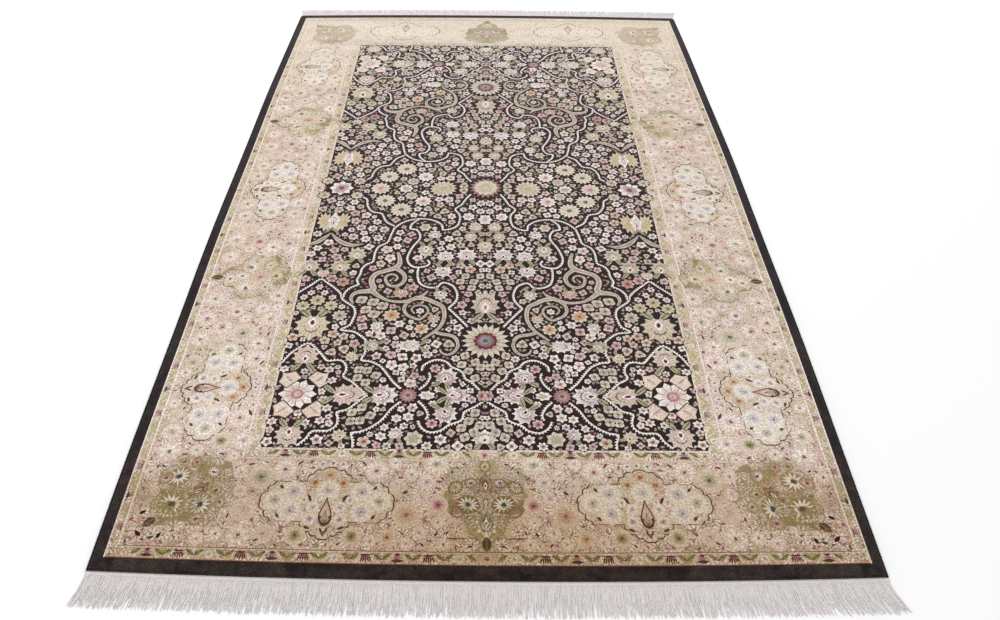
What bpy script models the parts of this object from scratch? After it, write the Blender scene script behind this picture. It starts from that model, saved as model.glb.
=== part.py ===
"""A hand-knotted Persian rug lying flat, with its overcast selvedges and its warp fringes.

Metres, +Z up. The origin is the centre of the rug's underside, on the floor. X runs across the rug, and
Y along its length, from the near fringe to the far one.

The rug is woven in one piece, so the pile and its foundation are one flat solid. Along each long side an
overcast cord, the selvedge, is sewn to it. At each end the warps run out as a narrow flat-woven strip, the
kilim end, which carries the fringe: strip and strands are one solid.
"""

import math
import random

import bpy

# The woven rug
RUG_WIDTH = 1.530  # across the corners, over both selvedges
RUG_LENGTH = 2.460  # between the corners, without kilim ends and fringes
RUG_THICKNESS = 0.009  # foundation and clipped pile
SIDE_BOW = 0.016  # how far each long side bows out at its middle
END_BOW = 0.015  # how far each end bows out at its middle
SIDE_WANDER = 0.0012  # the uneven line of a hand-woven side
SIDE_WAVES = 9.0  # the wander's angle at a corner, in radians from the side's middle
RIM_RADIUS = 0.002  # the rounded rim of the pile
RIM_ANGLE = math.radians(60)  # sharper edges than this are the rim
SEAM = 0.0003  # between pieces that touch
SELVEDGE_DIAMETER = 0.006

# The fringes
KILIM_DEPTH = 0.009
FRINGE_THICKNESS = 0.0025
FRINGE_LENGTH = 0.062  # from the kilim end to the strands' tips
STRANDS_PER_END = 150
STRAND_WIDTH = 0.0056
STRAND_TIP_SHARE = 0.55  # a tip's width as a share of its root's
STRAND_SECTIONS = 4  # stations along a strand, with its root and tip
LEAN_AT_ROOT = 0.4  # a strand leaves the strip with this share of its lean, and curves on
LENGTH_SPREAD = 0.004
LEAN_SPREAD = math.radians(1.2)
FAN_POWER = 3  # the strands fan out only near the rug's corners

# The fan of each end's outermost strands. Way is -1 at the near end and 1 at the far one.
FANS = {
    "fringe_front": {"way": -1, "left_lean": math.radians(9), "right_lean": math.radians(22), "seed": 11},
    "fringe_back": {"way": 1, "left_lean": math.radians(6), "right_lean": math.radians(18), "seed": 12},
}

# How finely the curved outlines are drawn
POINTS_ALONG = 42
POINTS_ACROSS = 26
SELVEDGE_POINTS = 48
SELVEDGE_ROUNDNESS = 2  # the curve's bevel resolution
CAP_WELD = 0.00005

MATERIALS = {
    "pile": {"colour": (0.36, 0.29, 0.23), "roughness": 0.85},
    "overcasting": {"colour": (0.035, 0.022, 0.022), "roughness": 0.8},
    "warp_cotton": {"colour": (0.74, 0.71, 0.68), "roughness": 0.9},
}


def clear_scene():
    for obj in list(bpy.data.objects):
        bpy.data.objects.remove(obj)


def yarn_material(name):
    """The plain look of one kind of yarn."""
    look = MATERIALS[name]
    material = bpy.data.materials.get(name) or bpy.data.materials.new(name)
    material.use_nodes = True
    shader = material.node_tree.nodes["Principled BSDF"]
    shader.inputs["Base Color"].default_value = (*look["colour"], 1.0)
    shader.inputs["Roughness"].default_value = look["roughness"]
    shader.inputs["Metallic"].default_value = 0.0
    return material


def side_x(y):
    """How far the right side lies from the centre line at y. The left side is the same, turned half round."""
    along = 2 * y / RUG_LENGTH
    wander = SIDE_WANDER * math.sin(SIDE_WAVES * along) * (1 - along * along)
    return RUG_WIDTH / 2 + SIDE_BOW * (1 - along * along) + wander


def end_y(x):
    """The half length of the rug at x."""
    across = 2 * x / RUG_WIDTH
    return RUG_LENGTH / 2 + END_BOW * (1 - across * across)


def steps(first, last, count):
    """Count values from first to last, both included."""
    return [first + (last - first) * i / (count - 1) for i in range(count)]


def flat_solid(name, outline, thickness, material, collection):
    """A closed outline, as a solid that lies on the floor. It is a filled 2D curve, extruded."""
    curve = bpy.data.curves.new(name, "CURVE")
    curve.dimensions = "2D"
    curve.fill_mode = "BOTH"
    curve.extrude = thickness / 2
    spline = curve.splines.new("POLY")
    spline.points.add(len(outline) - 1)
    for point, (x, y) in zip(spline.points, outline):
        point.co = (x, y, 0.0, 1.0)
    spline.use_cyclic_u = True
    curve.materials.append(material)
    obj = bpy.data.objects.new(name, curve)
    obj.location.z = thickness / 2
    collection.objects.link(obj)
    return obj


def pile_body(collection):
    """Foundation and pile: one slab, drawn in from the long sides by the selvedges."""
    inset = SELVEDGE_DIAMETER + SEAM
    corner_x = RUG_WIDTH / 2 - inset
    corner_y = RUG_LENGTH / 2
    near_end = [(x, -end_y(x)) for x in steps(-corner_x, corner_x, POINTS_ACROSS)]
    right_side = [(side_x(y) - inset, y) for y in steps(-corner_y, corner_y, POINTS_ALONG)]
    outline = near_end + right_side[1:-1]
    outline += [(-x, -y) for x, y in outline]
    body = flat_solid("pile_body", outline, RUG_THICKNESS, yarn_material("pile"), collection)
    weld = body.modifiers.new("join_caps", "WELD")
    weld.merge_threshold = CAP_WELD
    rim = body.modifiers.new("rounded_rim", "BEVEL")
    rim.width = RIM_RADIUS
    rim.segments = 2
    rim.limit_method = "ANGLE"
    rim.angle_limit = RIM_ANGLE
    return body


def selvedge(name, side, collection):
    """The overcast cord along one long side. Side is -1 for the left and 1 for the right."""
    radius = SELVEDGE_DIAMETER / 2
    curve = bpy.data.curves.new(name, "CURVE")
    curve.dimensions = "3D"
    curve.bevel_depth = radius
    curve.bevel_resolution = SELVEDGE_ROUNDNESS
    curve.use_fill_caps = True
    spline = curve.splines.new("POLY")
    spline.points.add(SELVEDGE_POINTS - 1)
    for point, y in zip(spline.points, steps(-RUG_LENGTH / 2, RUG_LENGTH / 2, SELVEDGE_POINTS)):
        point.co = (side * (side_x(side * y) - radius), y, 0.0, 1.0)
    curve.materials.append(yarn_material("overcasting"))
    cord = bpy.data.objects.new(name, curve)
    cord.location.z = radius
    collection.objects.link(cord)
    return cord


def strand_sides(root, way, lean, length):
    """The two long sides of a strand, from root to tip, seen from above."""
    left, right = [], []
    for share in steps(0, 1, STRAND_SECTIONS):
        half = STRAND_WIDTH / 2 * (1 - (1 - STRAND_TIP_SHARE) * share * share)
        sideways = share * (LEAN_AT_ROOT + (1 - LEAN_AT_ROOT) * share)
        x = root[0] + math.tan(lean) * length * sideways
        y = root[1] + way * length * share
        left.append((x - half, y))
        right.append((x + half, y))
    return left, right


def fringe(name, way, left_lean, right_lean, seed, collection):
    """Kilim end and strands, as one comb-shaped solid."""
    draw = random.Random(seed)
    half_width = RUG_WIDTH / 2
    pitch = RUG_WIDTH / STRANDS_PER_END
    comb = []
    for i in range(STRANDS_PER_END):
        x = -half_width + (i + 0.5) * pitch
        across = x / half_width
        fan = left_lean if across < 0 else right_lean
        lean = math.copysign(fan * abs(across) ** FAN_POWER, across) + draw.uniform(-1, 1) * LEAN_SPREAD
        length = FRINGE_LENGTH + draw.uniform(-1, 1) * LENGTH_SPREAD
        root = (x, way * (end_y(x) + SEAM + KILIM_DEPTH))
        left, right = strand_sides(root, way, lean, length)
        comb += left + right[::-1]
    rug_edge = [(x, way * (end_y(x) + SEAM)) for x in steps(half_width, -half_width, POINTS_ACROSS)]
    return flat_solid(name, comb + rug_edge, FRINGE_THICKNESS, yarn_material("warp_cotton"), collection)


def main():
    clear_scene()
    rug = bpy.data.collections.new("persian_rug")
    bpy.context.scene.collection.children.link(rug)
    pile_body(rug)
    selvedge("selvedge_left", -1, rug)
    selvedge("selvedge_right", 1, rug)
    for name, fan in FANS.items():
        fringe(name, fan["way"], fan["left_lean"], fan["right_lean"], fan["seed"], rug)


main()
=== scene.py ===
# %% [markdown]
# # A hand-knotted Persian rug
#
# A weaver ties such a rug knot by knot from a chart of one quarter, and turns the chart over for the other
# three. This script does the same. It charts a quarter as flat patches laid one on another, cuts them into
# one mesh, mirrors that mesh four ways, and then pulls it out of true a little, as a loom does. A material
# draws petals, hearts and outlines inside each patch. Selvedges and fringes are made with Geometry Nodes.

import math
import random

import bpy
import numpy as np
from mathutils import Matrix, Vector
from mathutils.geometry import delaunay_2d_cdt


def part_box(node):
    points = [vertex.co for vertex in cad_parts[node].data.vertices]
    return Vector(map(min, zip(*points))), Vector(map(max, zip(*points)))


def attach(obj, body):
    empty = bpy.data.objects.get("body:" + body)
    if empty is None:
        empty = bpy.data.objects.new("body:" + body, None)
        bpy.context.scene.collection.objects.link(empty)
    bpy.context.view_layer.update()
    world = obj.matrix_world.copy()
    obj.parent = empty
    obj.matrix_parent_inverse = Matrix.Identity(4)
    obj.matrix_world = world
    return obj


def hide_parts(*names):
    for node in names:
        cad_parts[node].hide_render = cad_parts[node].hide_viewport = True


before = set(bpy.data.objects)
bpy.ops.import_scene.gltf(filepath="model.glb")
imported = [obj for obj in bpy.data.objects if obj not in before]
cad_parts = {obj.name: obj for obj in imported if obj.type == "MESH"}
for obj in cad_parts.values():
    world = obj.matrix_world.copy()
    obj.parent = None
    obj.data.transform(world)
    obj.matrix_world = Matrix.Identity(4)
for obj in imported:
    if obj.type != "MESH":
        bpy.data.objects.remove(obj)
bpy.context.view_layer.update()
MM = 0.001
print("nodes:", sorted(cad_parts))

# %% [markdown]
# ## Sizes
#
# The rug lies centred on the origin: X across, Y along, from the near fringe to the far one. These are the
# sizes of the solids, in metres. Both the sides and the ends bow out, because the loom's warps draw in where
# they are tied.

# %% Sizes of the rug
RUG_WIDTH = 1.530
RUG_LENGTH = 2.460
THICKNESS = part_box("pile_body")[1].z
SIDE_BOW = 0.016
END_BOW = 0.015
SIDE_WANDER = 0.0012
SIDE_WAVES = 9.0
SELVEDGE_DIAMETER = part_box("selvedge_left")[1].z
SEAM = 0.0003
KILIM_DEPTH = 0.009
FRINGE_LENGTH = 0.062


def on_loom(x, y):
    """Where a point of the true rectangle lies on the real rug, with its bowed sides and ends."""
    across = 2 * x / RUG_WIDTH
    along = 2 * y / RUG_LENGTH
    wander = SIDE_WANDER * np.sin(SIDE_WAVES * along)
    aside = (SIDE_BOW * across * abs(across) + wander) * (1 - along * along)
    ahead = END_BOW * along ** 3 * (1 - across * across)
    return x + aside, y + ahead


print(f"woven part {RUG_WIDTH:.2f} x {RUG_LENGTH:.2f} m, {THICKNESS / MM:.0f} mm thick")

# %% [markdown]
# ## Dyes
#
# Vegetable dyes on wool are never pure. The table gives each as it looks in daylight, from 0 to 255, with the
# undyed cotton last, and the shader needs them linear.

# %% Dyes
DYES = {
    "aubergine": (42, 26, 26),
    "charcoal": (28, 19, 21),
    "ivory": (242, 232, 225),
    "cream": (216, 203, 184),
    "shell": (229, 215, 197),
    "beige": (223, 201, 184),
    "sand": (214, 197, 168),
    "honey": (200, 180, 144),
    "fawn": (135, 111, 69),
    "bronze": (162, 141, 98),
    "stone": (181, 165, 154),
    "celadon": (190, 181, 154),
    "sage": (172, 168, 138),
    "olive": (150, 140, 94),
    "citron": (192, 180, 136),
    "moss": (84, 74, 52),
    "pink": (218, 188, 180),
    "lilac": (204, 192, 192),
    "mauve": (188, 160, 162),
    "clay": (200, 164, 146),
    "rose": (168, 122, 124),
    "russet": (146, 92, 72),
    "brick": (112, 42, 48),
    "orange": (204, 158, 122),
    "slate": (150, 147, 152),
    "steel": (112, 110, 124),
    "umber": (84, 62, 52),
    "overcast": (38, 30, 32),
    "cotton": (240, 234, 233),
}


def linear(dye):
    """A named dye as a linear colour with alpha."""
    shares = [c / 255 for c in DYES[dye]]
    return [c / 12.92 if c <= 0.04045 else ((c + 0.055) / 1.055) ** 2.4 for c in shares] + [1.0]


print(len(DYES), "dyes")

# %% [markdown]
# ## The chart
#
# A patch is an outline with a look and a place. The place turns a point of the chart into the motif's own
# coordinates, where 1 is the rim, so the material can draw five petals as easily in a small flower as in a
# large one. Patches could be loose sheets above the pile, but a rug has no such layers: here they are cut
# into one surface, and the patch laid last shows. The chart is in millimetres from the rug's centre.

# %% Looks and patches
ROUND, BAND = 0.0, 1.0


def look(petal, tip=None, heart="brick", ground="aubergine", petals=5, depth=0.2, pointed=0.0, eye=0.3,
         line=0.0, kind=ROUND, vein=0.6, mottle=0.3, strewn=0.0):
    """What the material draws in a patch. Depth, eye and line are shares of the motif's radius."""
    return {"colours": (ground, petal, tip or petal, heart), "form": (petals, depth, eye),
            "stroke": (pointed, line, kind), "grain": (vein, mottle, strewn)}


def plain(dye, strewn=0.0, rim=None, mottle=0.0):
    """A bare ground, or one strewn with fine sprays."""
    return look(dye, rim, dye, dye, petals=0, depth=0.0, eye=0.0, vein=0.0, mottle=mottle, strewn=strewn)


def place_at(x, y, across, along, turn=0.0, start=0.0):
    """The rows that turn a chart point into local coordinates. Turn is the local X axis's angle."""
    cos, sin = math.cos(turn), math.sin(turn)
    row_u = (cos / across, sin / across, start - (x * cos + y * sin) / across)
    row_v = (-sin / along, cos / along, (x * sin - y * cos) / along)
    return row_u, row_v


class Chart:
    """Patches in the order in which they are laid, and the discs of ground that they take."""

    def __init__(self):
        self.outlines, self.looks, self.places, self.taken = [], [], [], []

    def lay(self, outline, style, place):
        area = sum(a[0] * b[1] - b[0] * a[1] for a, b in zip(outline, outline[1:] + outline[:1]))
        self.outlines.append(outline if area > 0 else outline[::-1])  # the cut needs them anticlockwise
        self.looks.append(style)
        self.places.append(place)

    def take(self, x, y, radius):
        self.taken.append((x, y, radius))

    def slide_under(self, below, latest):
        """Move the patches from number latest on below those from number below on."""
        for rows in (self.outlines, self.looks, self.places):
            rows[below:] = rows[latest:] + rows[below:latest]


chart = Chart()
print("an empty chart")

# %% [markdown]
# Outlines are lists of points in millimetres: round ones, rectangles that can bow with the rug, and scalloped
# ones, which are written as their right half. A spot is a place and a direction to draw a motif from.

# %% Outlines
EDGE_STEP = 30.0  # between the points along a long straight edge


def polar(x, y, across, along, turn, shape, count):
    """A closed outline round (x, y). Shape gives the radius's share at each angle from the turned X axis."""
    cos, sin = math.cos(turn), math.sin(turn)
    points = []
    for i in range(count):
        angle = 2 * math.pi * i / count
        p = across * shape(angle) * math.cos(angle)
        q = along * shape(angle) * math.sin(angle)
        points.append((x + p * cos - q * sin, y + p * sin + q * cos))
    return points


def even(angle):
    return 1.0


def box(x0, y0, x1, y1):
    """A rectangle with points all along its sides, so that they can bow with the rug."""
    corners = [Vector((x0, y0)), Vector((x1, y0)), Vector((x1, y1)), Vector((x0, y1))]
    outline = []
    for start, end in zip(corners, corners[1:] + corners[:1]):
        count = max(1, round((end - start).length / EDGE_STEP))
        outline += [tuple(start.lerp(end, i / count)) for i in range(count)]
    return outline


def scalloped(half, grow=0.0):
    """A closed outline from its right half: rows of aside, ahead, and the bulge of the edge that follows."""
    right = []
    for (ax, ay, bulge), (bx, by, _) in zip(half, half[1:]):
        right.append((ax, ay))
        if bulge:
            for t in (0.25, 0.5, 0.75):
                rise = bulge * 4 * t * (1 - t)
                right.append((ax + (bx - ax) * t + (ay - by) * rise, ay + (by - ay) * t + (bx - ax) * rise))
    right.append(half[-1][:2])
    outline = right + [(-p, q) for p, q in right[-2:0:-1]]
    return [(p + grow * p / math.hypot(p, q), q + grow * q / math.hypot(p, q)) for p, q in outline]


class Spot:
    """A place on the chart and a direction ahead, in degrees, to draw a motif from its middle."""

    def __init__(self, x, y, facing):
        self.middle, self.turn = Vector((x, y)), math.radians(facing)
        self.ahead = Vector((math.cos(self.turn), math.sin(self.turn)))
        self.aside = Vector((-self.ahead.y, self.ahead.x))

    def at(self, aside, ahead):
        return self.middle + self.aside * aside + self.ahead * ahead

    def outline(self, points):
        return [tuple(self.at(*p)) for p in points]


print("a guard stripe's outline takes", len(box(0, 0, RUG_WIDTH / 2 / MM, RUG_LENGTH / 2 / MM)), "points")

# %% [markdown]
# ## Small motifs
#
# Most of the ground is filled with flowers no wider than a coin. An octagon is enough of a patch for each,
# since the material draws the petals. Leaves are pointed patches with a midrib.

# %% Small motifs
OCTAGON = 8
OCTAGON_REACH = 1.09  # so that its sides clear the motif's rim
LEAF_STATIONS = ((-1.0, 0.0), (-0.35, 0.8), (0.3, 0.9), (1.0, 0.0))


def flower(x, y, radius, style, turn=0.0, stretch=1.0, sides=OCTAGON):
    reach = radius * OCTAGON_REACH
    outline = polar(x, y, reach, reach * stretch, turn, even, sides)
    chart.lay(outline, style, place_at(x, y, radius, radius * stretch, turn))


def leaf(x, y, length, width, turn, style):
    """A leaf centred on (x, y), with its point along turn."""
    upper = [(s * length / 2, w * width / 2) for s, w in LEAF_STATIONS]
    lower = [(s * length / 2, -w * width / 2) for s, w in LEAF_STATIONS[-2:0:-1]]
    cos, sin = math.cos(turn), math.sin(turn)
    outline = [(x + p * cos - q * sin, y + p * sin + q * cos) for p, q in upper + lower]
    chart.lay(outline, style, place_at(x, y, length / 2, width / 2, turn))


def leaf_look(dye, rib, ground="aubergine", mottle=0.2):
    return look(dye, dye, rib, ground, petals=0, depth=0.0, eye=0.14, kind=BAND, vein=0.0, mottle=mottle)


def dahlia(petal, tip, heart, ground="beige", petals=13, depth=0.4, mottle=0.3):
    """A flower of fine rays."""
    return look(petal, tip, heart, ground, petals=petals, depth=depth, pointed=1.0, eye=0.16, vein=1.0,
                mottle=mottle)


print("a small flower is an octagon, a leaf has", 2 * len(LEAF_STATIONS) - 2, "points")

# %% [markdown]
# ## Vines
#
# A vine is a smooth route with a width. It is laid as short slanted strips, so that it can bend, and the
# material cuts slanting teeth into its left edge, like the leafy vines of the field. An arabesque swells in
# its middle.

# %% Vines
VINE_STEP = 7.0
TOOTH = 7.5  # the length of vine that each tooth takes
VINE_ROOM = 2.2  # kept clear beside a vine


def smooth_route(points):
    """Points a step or so apart along a smooth curve through the given ones."""
    knots = [Vector(p) for p in points]
    knots = [2 * knots[0] - knots[1]] + knots + [2 * knots[-1] - knots[-2]]
    route = []
    for before, start, end, after in zip(knots, knots[1:], knots[2:], knots[3:]):
        count = max(1, round((end - start).length / VINE_STEP))
        for i in range(count):
            t = i / count
            route.append(0.5 * (2 * start + (end - before) * t
                                + (2 * before - 5 * start + 4 * end - after) * t * t
                                + (3 * start - before - 3 * end + after) * t * t * t))
    return route + [knots[-2]]


def vine(points, width, style, belly=0.0, tip_width=None):
    """A band along a smooth route, from its width to tip_width, wider by belly in between."""
    route = smooth_route(points)
    tip_width = width if tip_width is None else tip_width
    last = len(route) - 1
    sides = []
    for i, point in enumerate(route):
        ahead = (route[min(i + 1, last)] - route[max(i - 1, 0)]).normalized()
        half = (width + (tip_width - width) * i / last + belly * math.sin(math.pi * i / last)) / 2
        sides.append((point, Vector((-ahead.y, ahead.x)), half))
        chart.take(point.x, point.y, half + VINE_ROOM)
    travelled = 0.0
    for (start, left0, half0), (end, left1, half1) in zip(sides, sides[1:]):
        along = end - start
        corners = [start - left0 * half0, end - left1 * half1, end + left1 * half1, start + left0 * half0]
        turn = math.atan2(along.y, along.x)
        middle = sum(corners, Vector((0, 0))) / 4  # in a tight bend the corners cross, unless they are sorted
        corners.sort(key=lambda p: math.atan2(p.y - middle.y, p.x - middle.x))
        place = place_at(start.x, start.y, TOOTH, (half0 + half1) / 2, turn, travelled)
        chart.lay([tuple(p) for p in corners], style, place)
        travelled += along.length / TOOTH


print(f"vines are laid in strips {VINE_STEP:.0f} mm long")

# %% [markdown]
# ## Palmettes and rosettes
#
# The large motifs are cut-open blossoms: a serrated crown, a shield inside it, a drop in the shield and
# leaves at the stem. Each part is a patch of its own, because each has another outline.

# %% Palmettes and rosettes
def palmette(x, y, across, along, facing, crown, tip, shield, drop, ground="aubergine", teeth=11):
    """A blossom that opens towards facing, in degrees. Across and along are half its width and length."""
    here = Spot(x, y, facing)

    def fan(angle):
        lobes = 0.8 + 0.2 * math.cos(angle) + 0.06 * math.cos(3 * angle)
        return lobes * (1 - 0.26 * abs(math.sin(teeth * angle / 2)))

    def bud(angle):
        return 0.58 + 0.42 * abs(math.cos(angle / 2)) ** 3

    def rhomb(angle):
        return 1 / (abs(math.cos(angle)) + abs(math.sin(angle)))

    for side in (-1, 1):
        foot = here.at(across * 0.45 * side, -along * 0.72)
        leaf(*foot, along * 0.95, across * 0.42, here.turn + math.pi - side * 0.7,
             leaf_look("sage", "moss", ground))
    chart.lay(polar(x, y, along, across * 1.15, here.turn, fan, 4 * teeth),
              look(crown, tip, "umber", ground, petals=2 * teeth, depth=0.0, eye=0.0, vein=0.9, mottle=0.7),
              place_at(x, y, along, across, here.turn))
    inner = here.at(0, -along * 0.08)
    chart.lay(polar(*inner, along * 0.62, across * 0.54, here.turn, bud, 12),
              look(shield, tip, "umber", crown, petals=14, depth=0.1, eye=0.0, line=0.12, vein=0.9),
              place_at(*inner, along * 0.62, across * 0.5, here.turn))
    chart.lay(polar(*inner, along * 0.36, across * 0.25, here.turn, rhomb, 4),
              look("ivory", "ivory", drop, shield, petals=0, depth=0.0, eye=0.42, line=0.0, mottle=0.1),
              place_at(*inner, along * 0.36, across * 0.25, here.turn))
    chart.take(x, y, 0.86 * (across + along) / 2)


def rosette(x, y, radius, petal, tip, heart, petals, inner=None, ring=None, stretch=1.0, share=0.46):
    """A full-faced flower with pointed petals. The largest have an inner disc, a share as wide."""
    style = look(petal, tip, heart, petals=petals, depth=0.22, pointed=1.0, eye=0.24, vein=1.0, mottle=0.6)
    flower(x, y, radius, style, 0.0, stretch, 2 * OCTAGON)
    if inner:
        reach = radius * share
        chart.lay(polar(x, y, reach, reach * stretch, 0, even, 12),
                  look(inner, ring, ring, petal, petals=12, depth=0.16, eye=0.2, line=0.14, vein=0.9),
                  place_at(x, y, reach, reach * stretch))
    chart.take(x, y, 0.95 * radius * (1 + stretch) / 2)


print("a palmette is laid as two leaves, a crown, a shield and a drop")

# %% [markdown]
# ## Grounds
#
# From the outside in: a dark plain band, the outer guard stripe, the wide border, the inner guard stripe, and
# the dark field. Each is a rectangle of the quarter, laid on the last. The border's ground is strewn with
# sprays too fine to chart, so the material scatters those.

# %% Grounds
HALF_X, HALF_Y = RUG_WIDTH / 2 / MM, RUG_LENGTH / 2 / MM
PILE_X = HALF_X - (SELVEDGE_DIAMETER + SEAM) / MM
BAND_INNER = (737.5, 1204.0)
BORDER_OUTER = (716.0, 1177.0)
BORDER_INNER = (512.0, 977.0)
FIELD = (480.0, 950.0)
STRIPE = 1.8

for (x, y), stripes, dye, strewn in (
    # the far corner, how many stripes further out, dye, strewn
    ((PILE_X, HALF_Y), 0, "charcoal", 0.02),
    (BAND_INNER, 0, "russet", 0.0),
    (BAND_INNER, -1, "honey", 0.8),
    (BORDER_OUTER, 2, "cream", 0.0),
    (BORDER_OUTER, 1, "russet", 0.0),
    (BORDER_OUTER, 0, "beige", 0.9),
    (BORDER_INNER, 2, "clay", 0.0),
    (BORDER_INNER, 1, "cream", 0.0),
    (BORDER_INNER, -1, "sand", 0.9),
    (FIELD, 2, "shell", 0.0),
    (FIELD, 0, "aubergine", 0.0),
):
    corner = (x + stripes * STRIPE, y + stripes * STRIPE)
    chart.lay(box(0, 0, *corner), plain(dye, strewn), place_at(0, 0, *corner))
for x, y in (BORDER_OUTER, BORDER_INNER, (BAND_INNER[0] - STRIPE, BAND_INNER[1])):  # paler along the sides
    chart.lay(box(x, 0, x + 1.5 * STRIPE, y), plain("ivory"), place_at(0, 0, x, y))
print("grounds:", len(chart.outlines))

# %% [markdown]
# ## The field's vines
#
# Ivory vines make lobed arches, and a wide celadon arabesque curls in two spirals. The routes are given with
# few points, and the smooth curve does the rest.

# %% The field's vines
GROUNDS = len(chart.outlines)
IVORY_VINE = look("ivory", "ivory", "ivory", petals=1, depth=0.9, pointed=1.0, eye=0.0, kind=BAND, vein=0.0)
BEADED_VINE = look("ivory", "ivory", "ivory", petals=1, depth=1.0, eye=0.0, kind=BAND, vein=0.0)
ARABESQUE = look("stone", "cream", "moss", petals=0, depth=0.0, eye=0.0, kind=BAND, vein=0.0, mottle=0.7)

VINES = {
    "corner_arch": [(480, 706), (472, 689), (458, 667), (427, 641), (399, 667), (381, 690), (372, 698),
                    (356, 695), (340, 697), (329, 710), (326, 728), (330, 747), (308, 762), (288, 784),
                    (269, 802)],
    "corner_arch_far": [(269, 802), (288, 822), (308, 844), (330, 852), (326, 870), (327, 889), (344, 904),
                        (377, 906), (388, 926), (405, 945)],
    "lozenge": [(291, 628), (291, 645), (288, 668), (294, 694), (274, 698), (249, 712), (230, 737),
                (213, 762), (194, 782)],
    "lozenge_far": [(191, 820), (211, 842), (227, 870), (249, 892), (274, 906), (291, 909), (286, 928),
                    (284, 948)],
    "trefoil": [(0, 797), (11, 787), (30, 763), (47, 750), (52, 734), (63, 723), (80, 714), (91, 700),
                (108, 692), (127, 695), (147, 711), (149, 727)],
    "trefoil_stem": [(152, 784), (137, 767), (129, 745), (133, 732)],
    "trefoil_far": [(0, 814), (24, 834), (47, 850), (49, 867), (63, 878), (80, 885), (97, 900), (122, 905),
                    (141, 892), (149, 874)],
    "trefoil_stem_far": [(152, 818), (136, 836), (127, 858), (132, 870)],
    "side_arch": [(480, 461), (449, 428), (429, 408), (408, 425), (388, 444), (372, 464), (366, 483),
                  (352, 497), (333, 514), (327, 536), (330, 556), (336, 578), (355, 594), (324, 600),
                  (305, 614), (291, 628)],
    "upper_side": [(255, 190), (262, 220), (269, 254), (291, 273), (299, 298), (300, 322), (302, 339),
                   (316, 347), (327, 364), (330, 389), (336, 411), (331, 428), (347, 439), (361, 458),
                   (364, 480)],
    "middle": [(38, 26), (55, 50), (69, 80), (87, 102), (74, 128), (73, 154), (80, 180), (99, 194),
               (119, 197), (122, 178), (136, 162), (158, 151), (186, 148), (213, 154), (236, 168),
               (255, 190)],
    "ring": [(379, 30), (361, 45), (347, 57), (344, 80), (336, 102), (322, 118), (299, 124), (290, 142),
             (280, 164), (256, 182)],
    "inner_loop": [(191, 150), (208, 172), (211, 194), (194, 198), (183, 218), (183, 240), (197, 268),
                   (205, 290), (211, 320), (205, 344), (190, 358), (173, 358), (156, 352), (149, 339),
                   (156, 328)],
    "beaded_loop": [(179, 361), (180, 383), (177, 406), (169, 425), (149, 437), (127, 437), (116, 422),
                    (105, 419), (86, 430), (77, 447), (73, 467), (77, 489), (94, 514)],
    "to_rosette": [(94, 514), (77, 536), (58, 561), (38, 589)],
}
BEADED = ("beaded_loop", "inner_loop")
for name, points in VINES.items():
    width, style = (9.0, BEADED_VINE) if name in BEADED else (10.0, IVORY_VINE)
    vine(points, width, style)

ARABESQUES = {
    # width at the start, width at the tip, belly, route
    "stem": (7, 18, 0, [(238, 296), (231, 322), (230, 345), (240, 362)]),
    "left": (17, 18, -3, [(240, 362), (264, 373), (288, 385), (298, 406), (295, 428), (290, 442),
                          (304, 456)]),
    "hook": (17, 5, 0, [(300, 453), (324, 456), (340, 466), (344, 483), (336, 500)]),
    "curl": (13, 5, 0, [(236, 364), (220, 380), (212, 397), (215, 417), (226, 430), (240, 434), (254, 427),
                        (261, 412), (262, 397), (250, 387), (237, 390), (231, 403), (238, 414)]),
    "bridge": (17, 15, -8, [(294, 450), (278, 468), (258, 483), (241, 490), (213, 492), (191, 485),
                            (172, 475)]),
    "barb": (12, 4, 0, [(174, 477), (160, 466), (149, 450)]),
    "spiral": (10, 4, 0, [(188, 484), (202, 500), (206, 521), (197, 540), (181, 550), (166, 556), (152, 543),
                         (145, 527), (150, 511), (166, 504), (182, 509), (187, 522), (178, 535)]),
    "tail": (15, 6, 0, [(174, 476), (150, 482), (130, 494), (111, 507), (104, 531), (105, 556), (113, 580),
                        (128, 600), (143, 614), (156, 627)]),
    "end": (10, 4, 2, [(128, 598), (108, 606), (84, 611), (71, 624), (67, 645), (76, 666), (92, 675),
                       (106, 668), (110, 656)]),
}
for width, tip_width, belly, points in ARABESQUES.values():
    vine(points, width, ARABESQUE, belly=belly, tip_width=tip_width)
LONG_LEAF = look("stone", "cream", "russet", petals=0, depth=0.0, eye=0.12, kind=BAND, vein=0.0, mottle=0.7)
vine([(428, 216), (414, 236), (394, 256), (366, 268), (334, 262)], 3, LONG_LEAF, belly=13, tip_width=2)
vine([(430, 216), (444, 236), (462, 256), (480, 264)], 3, LONG_LEAF, belly=8, tip_width=10)
print("field patches so far:", len(chart.outlines))

# %% [markdown]
# ## The field's blossoms
#
# The rows give each palmette's place, half sizes and the way it opens, where 90 is towards the rug's end and
# 270 towards its centre.

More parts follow.
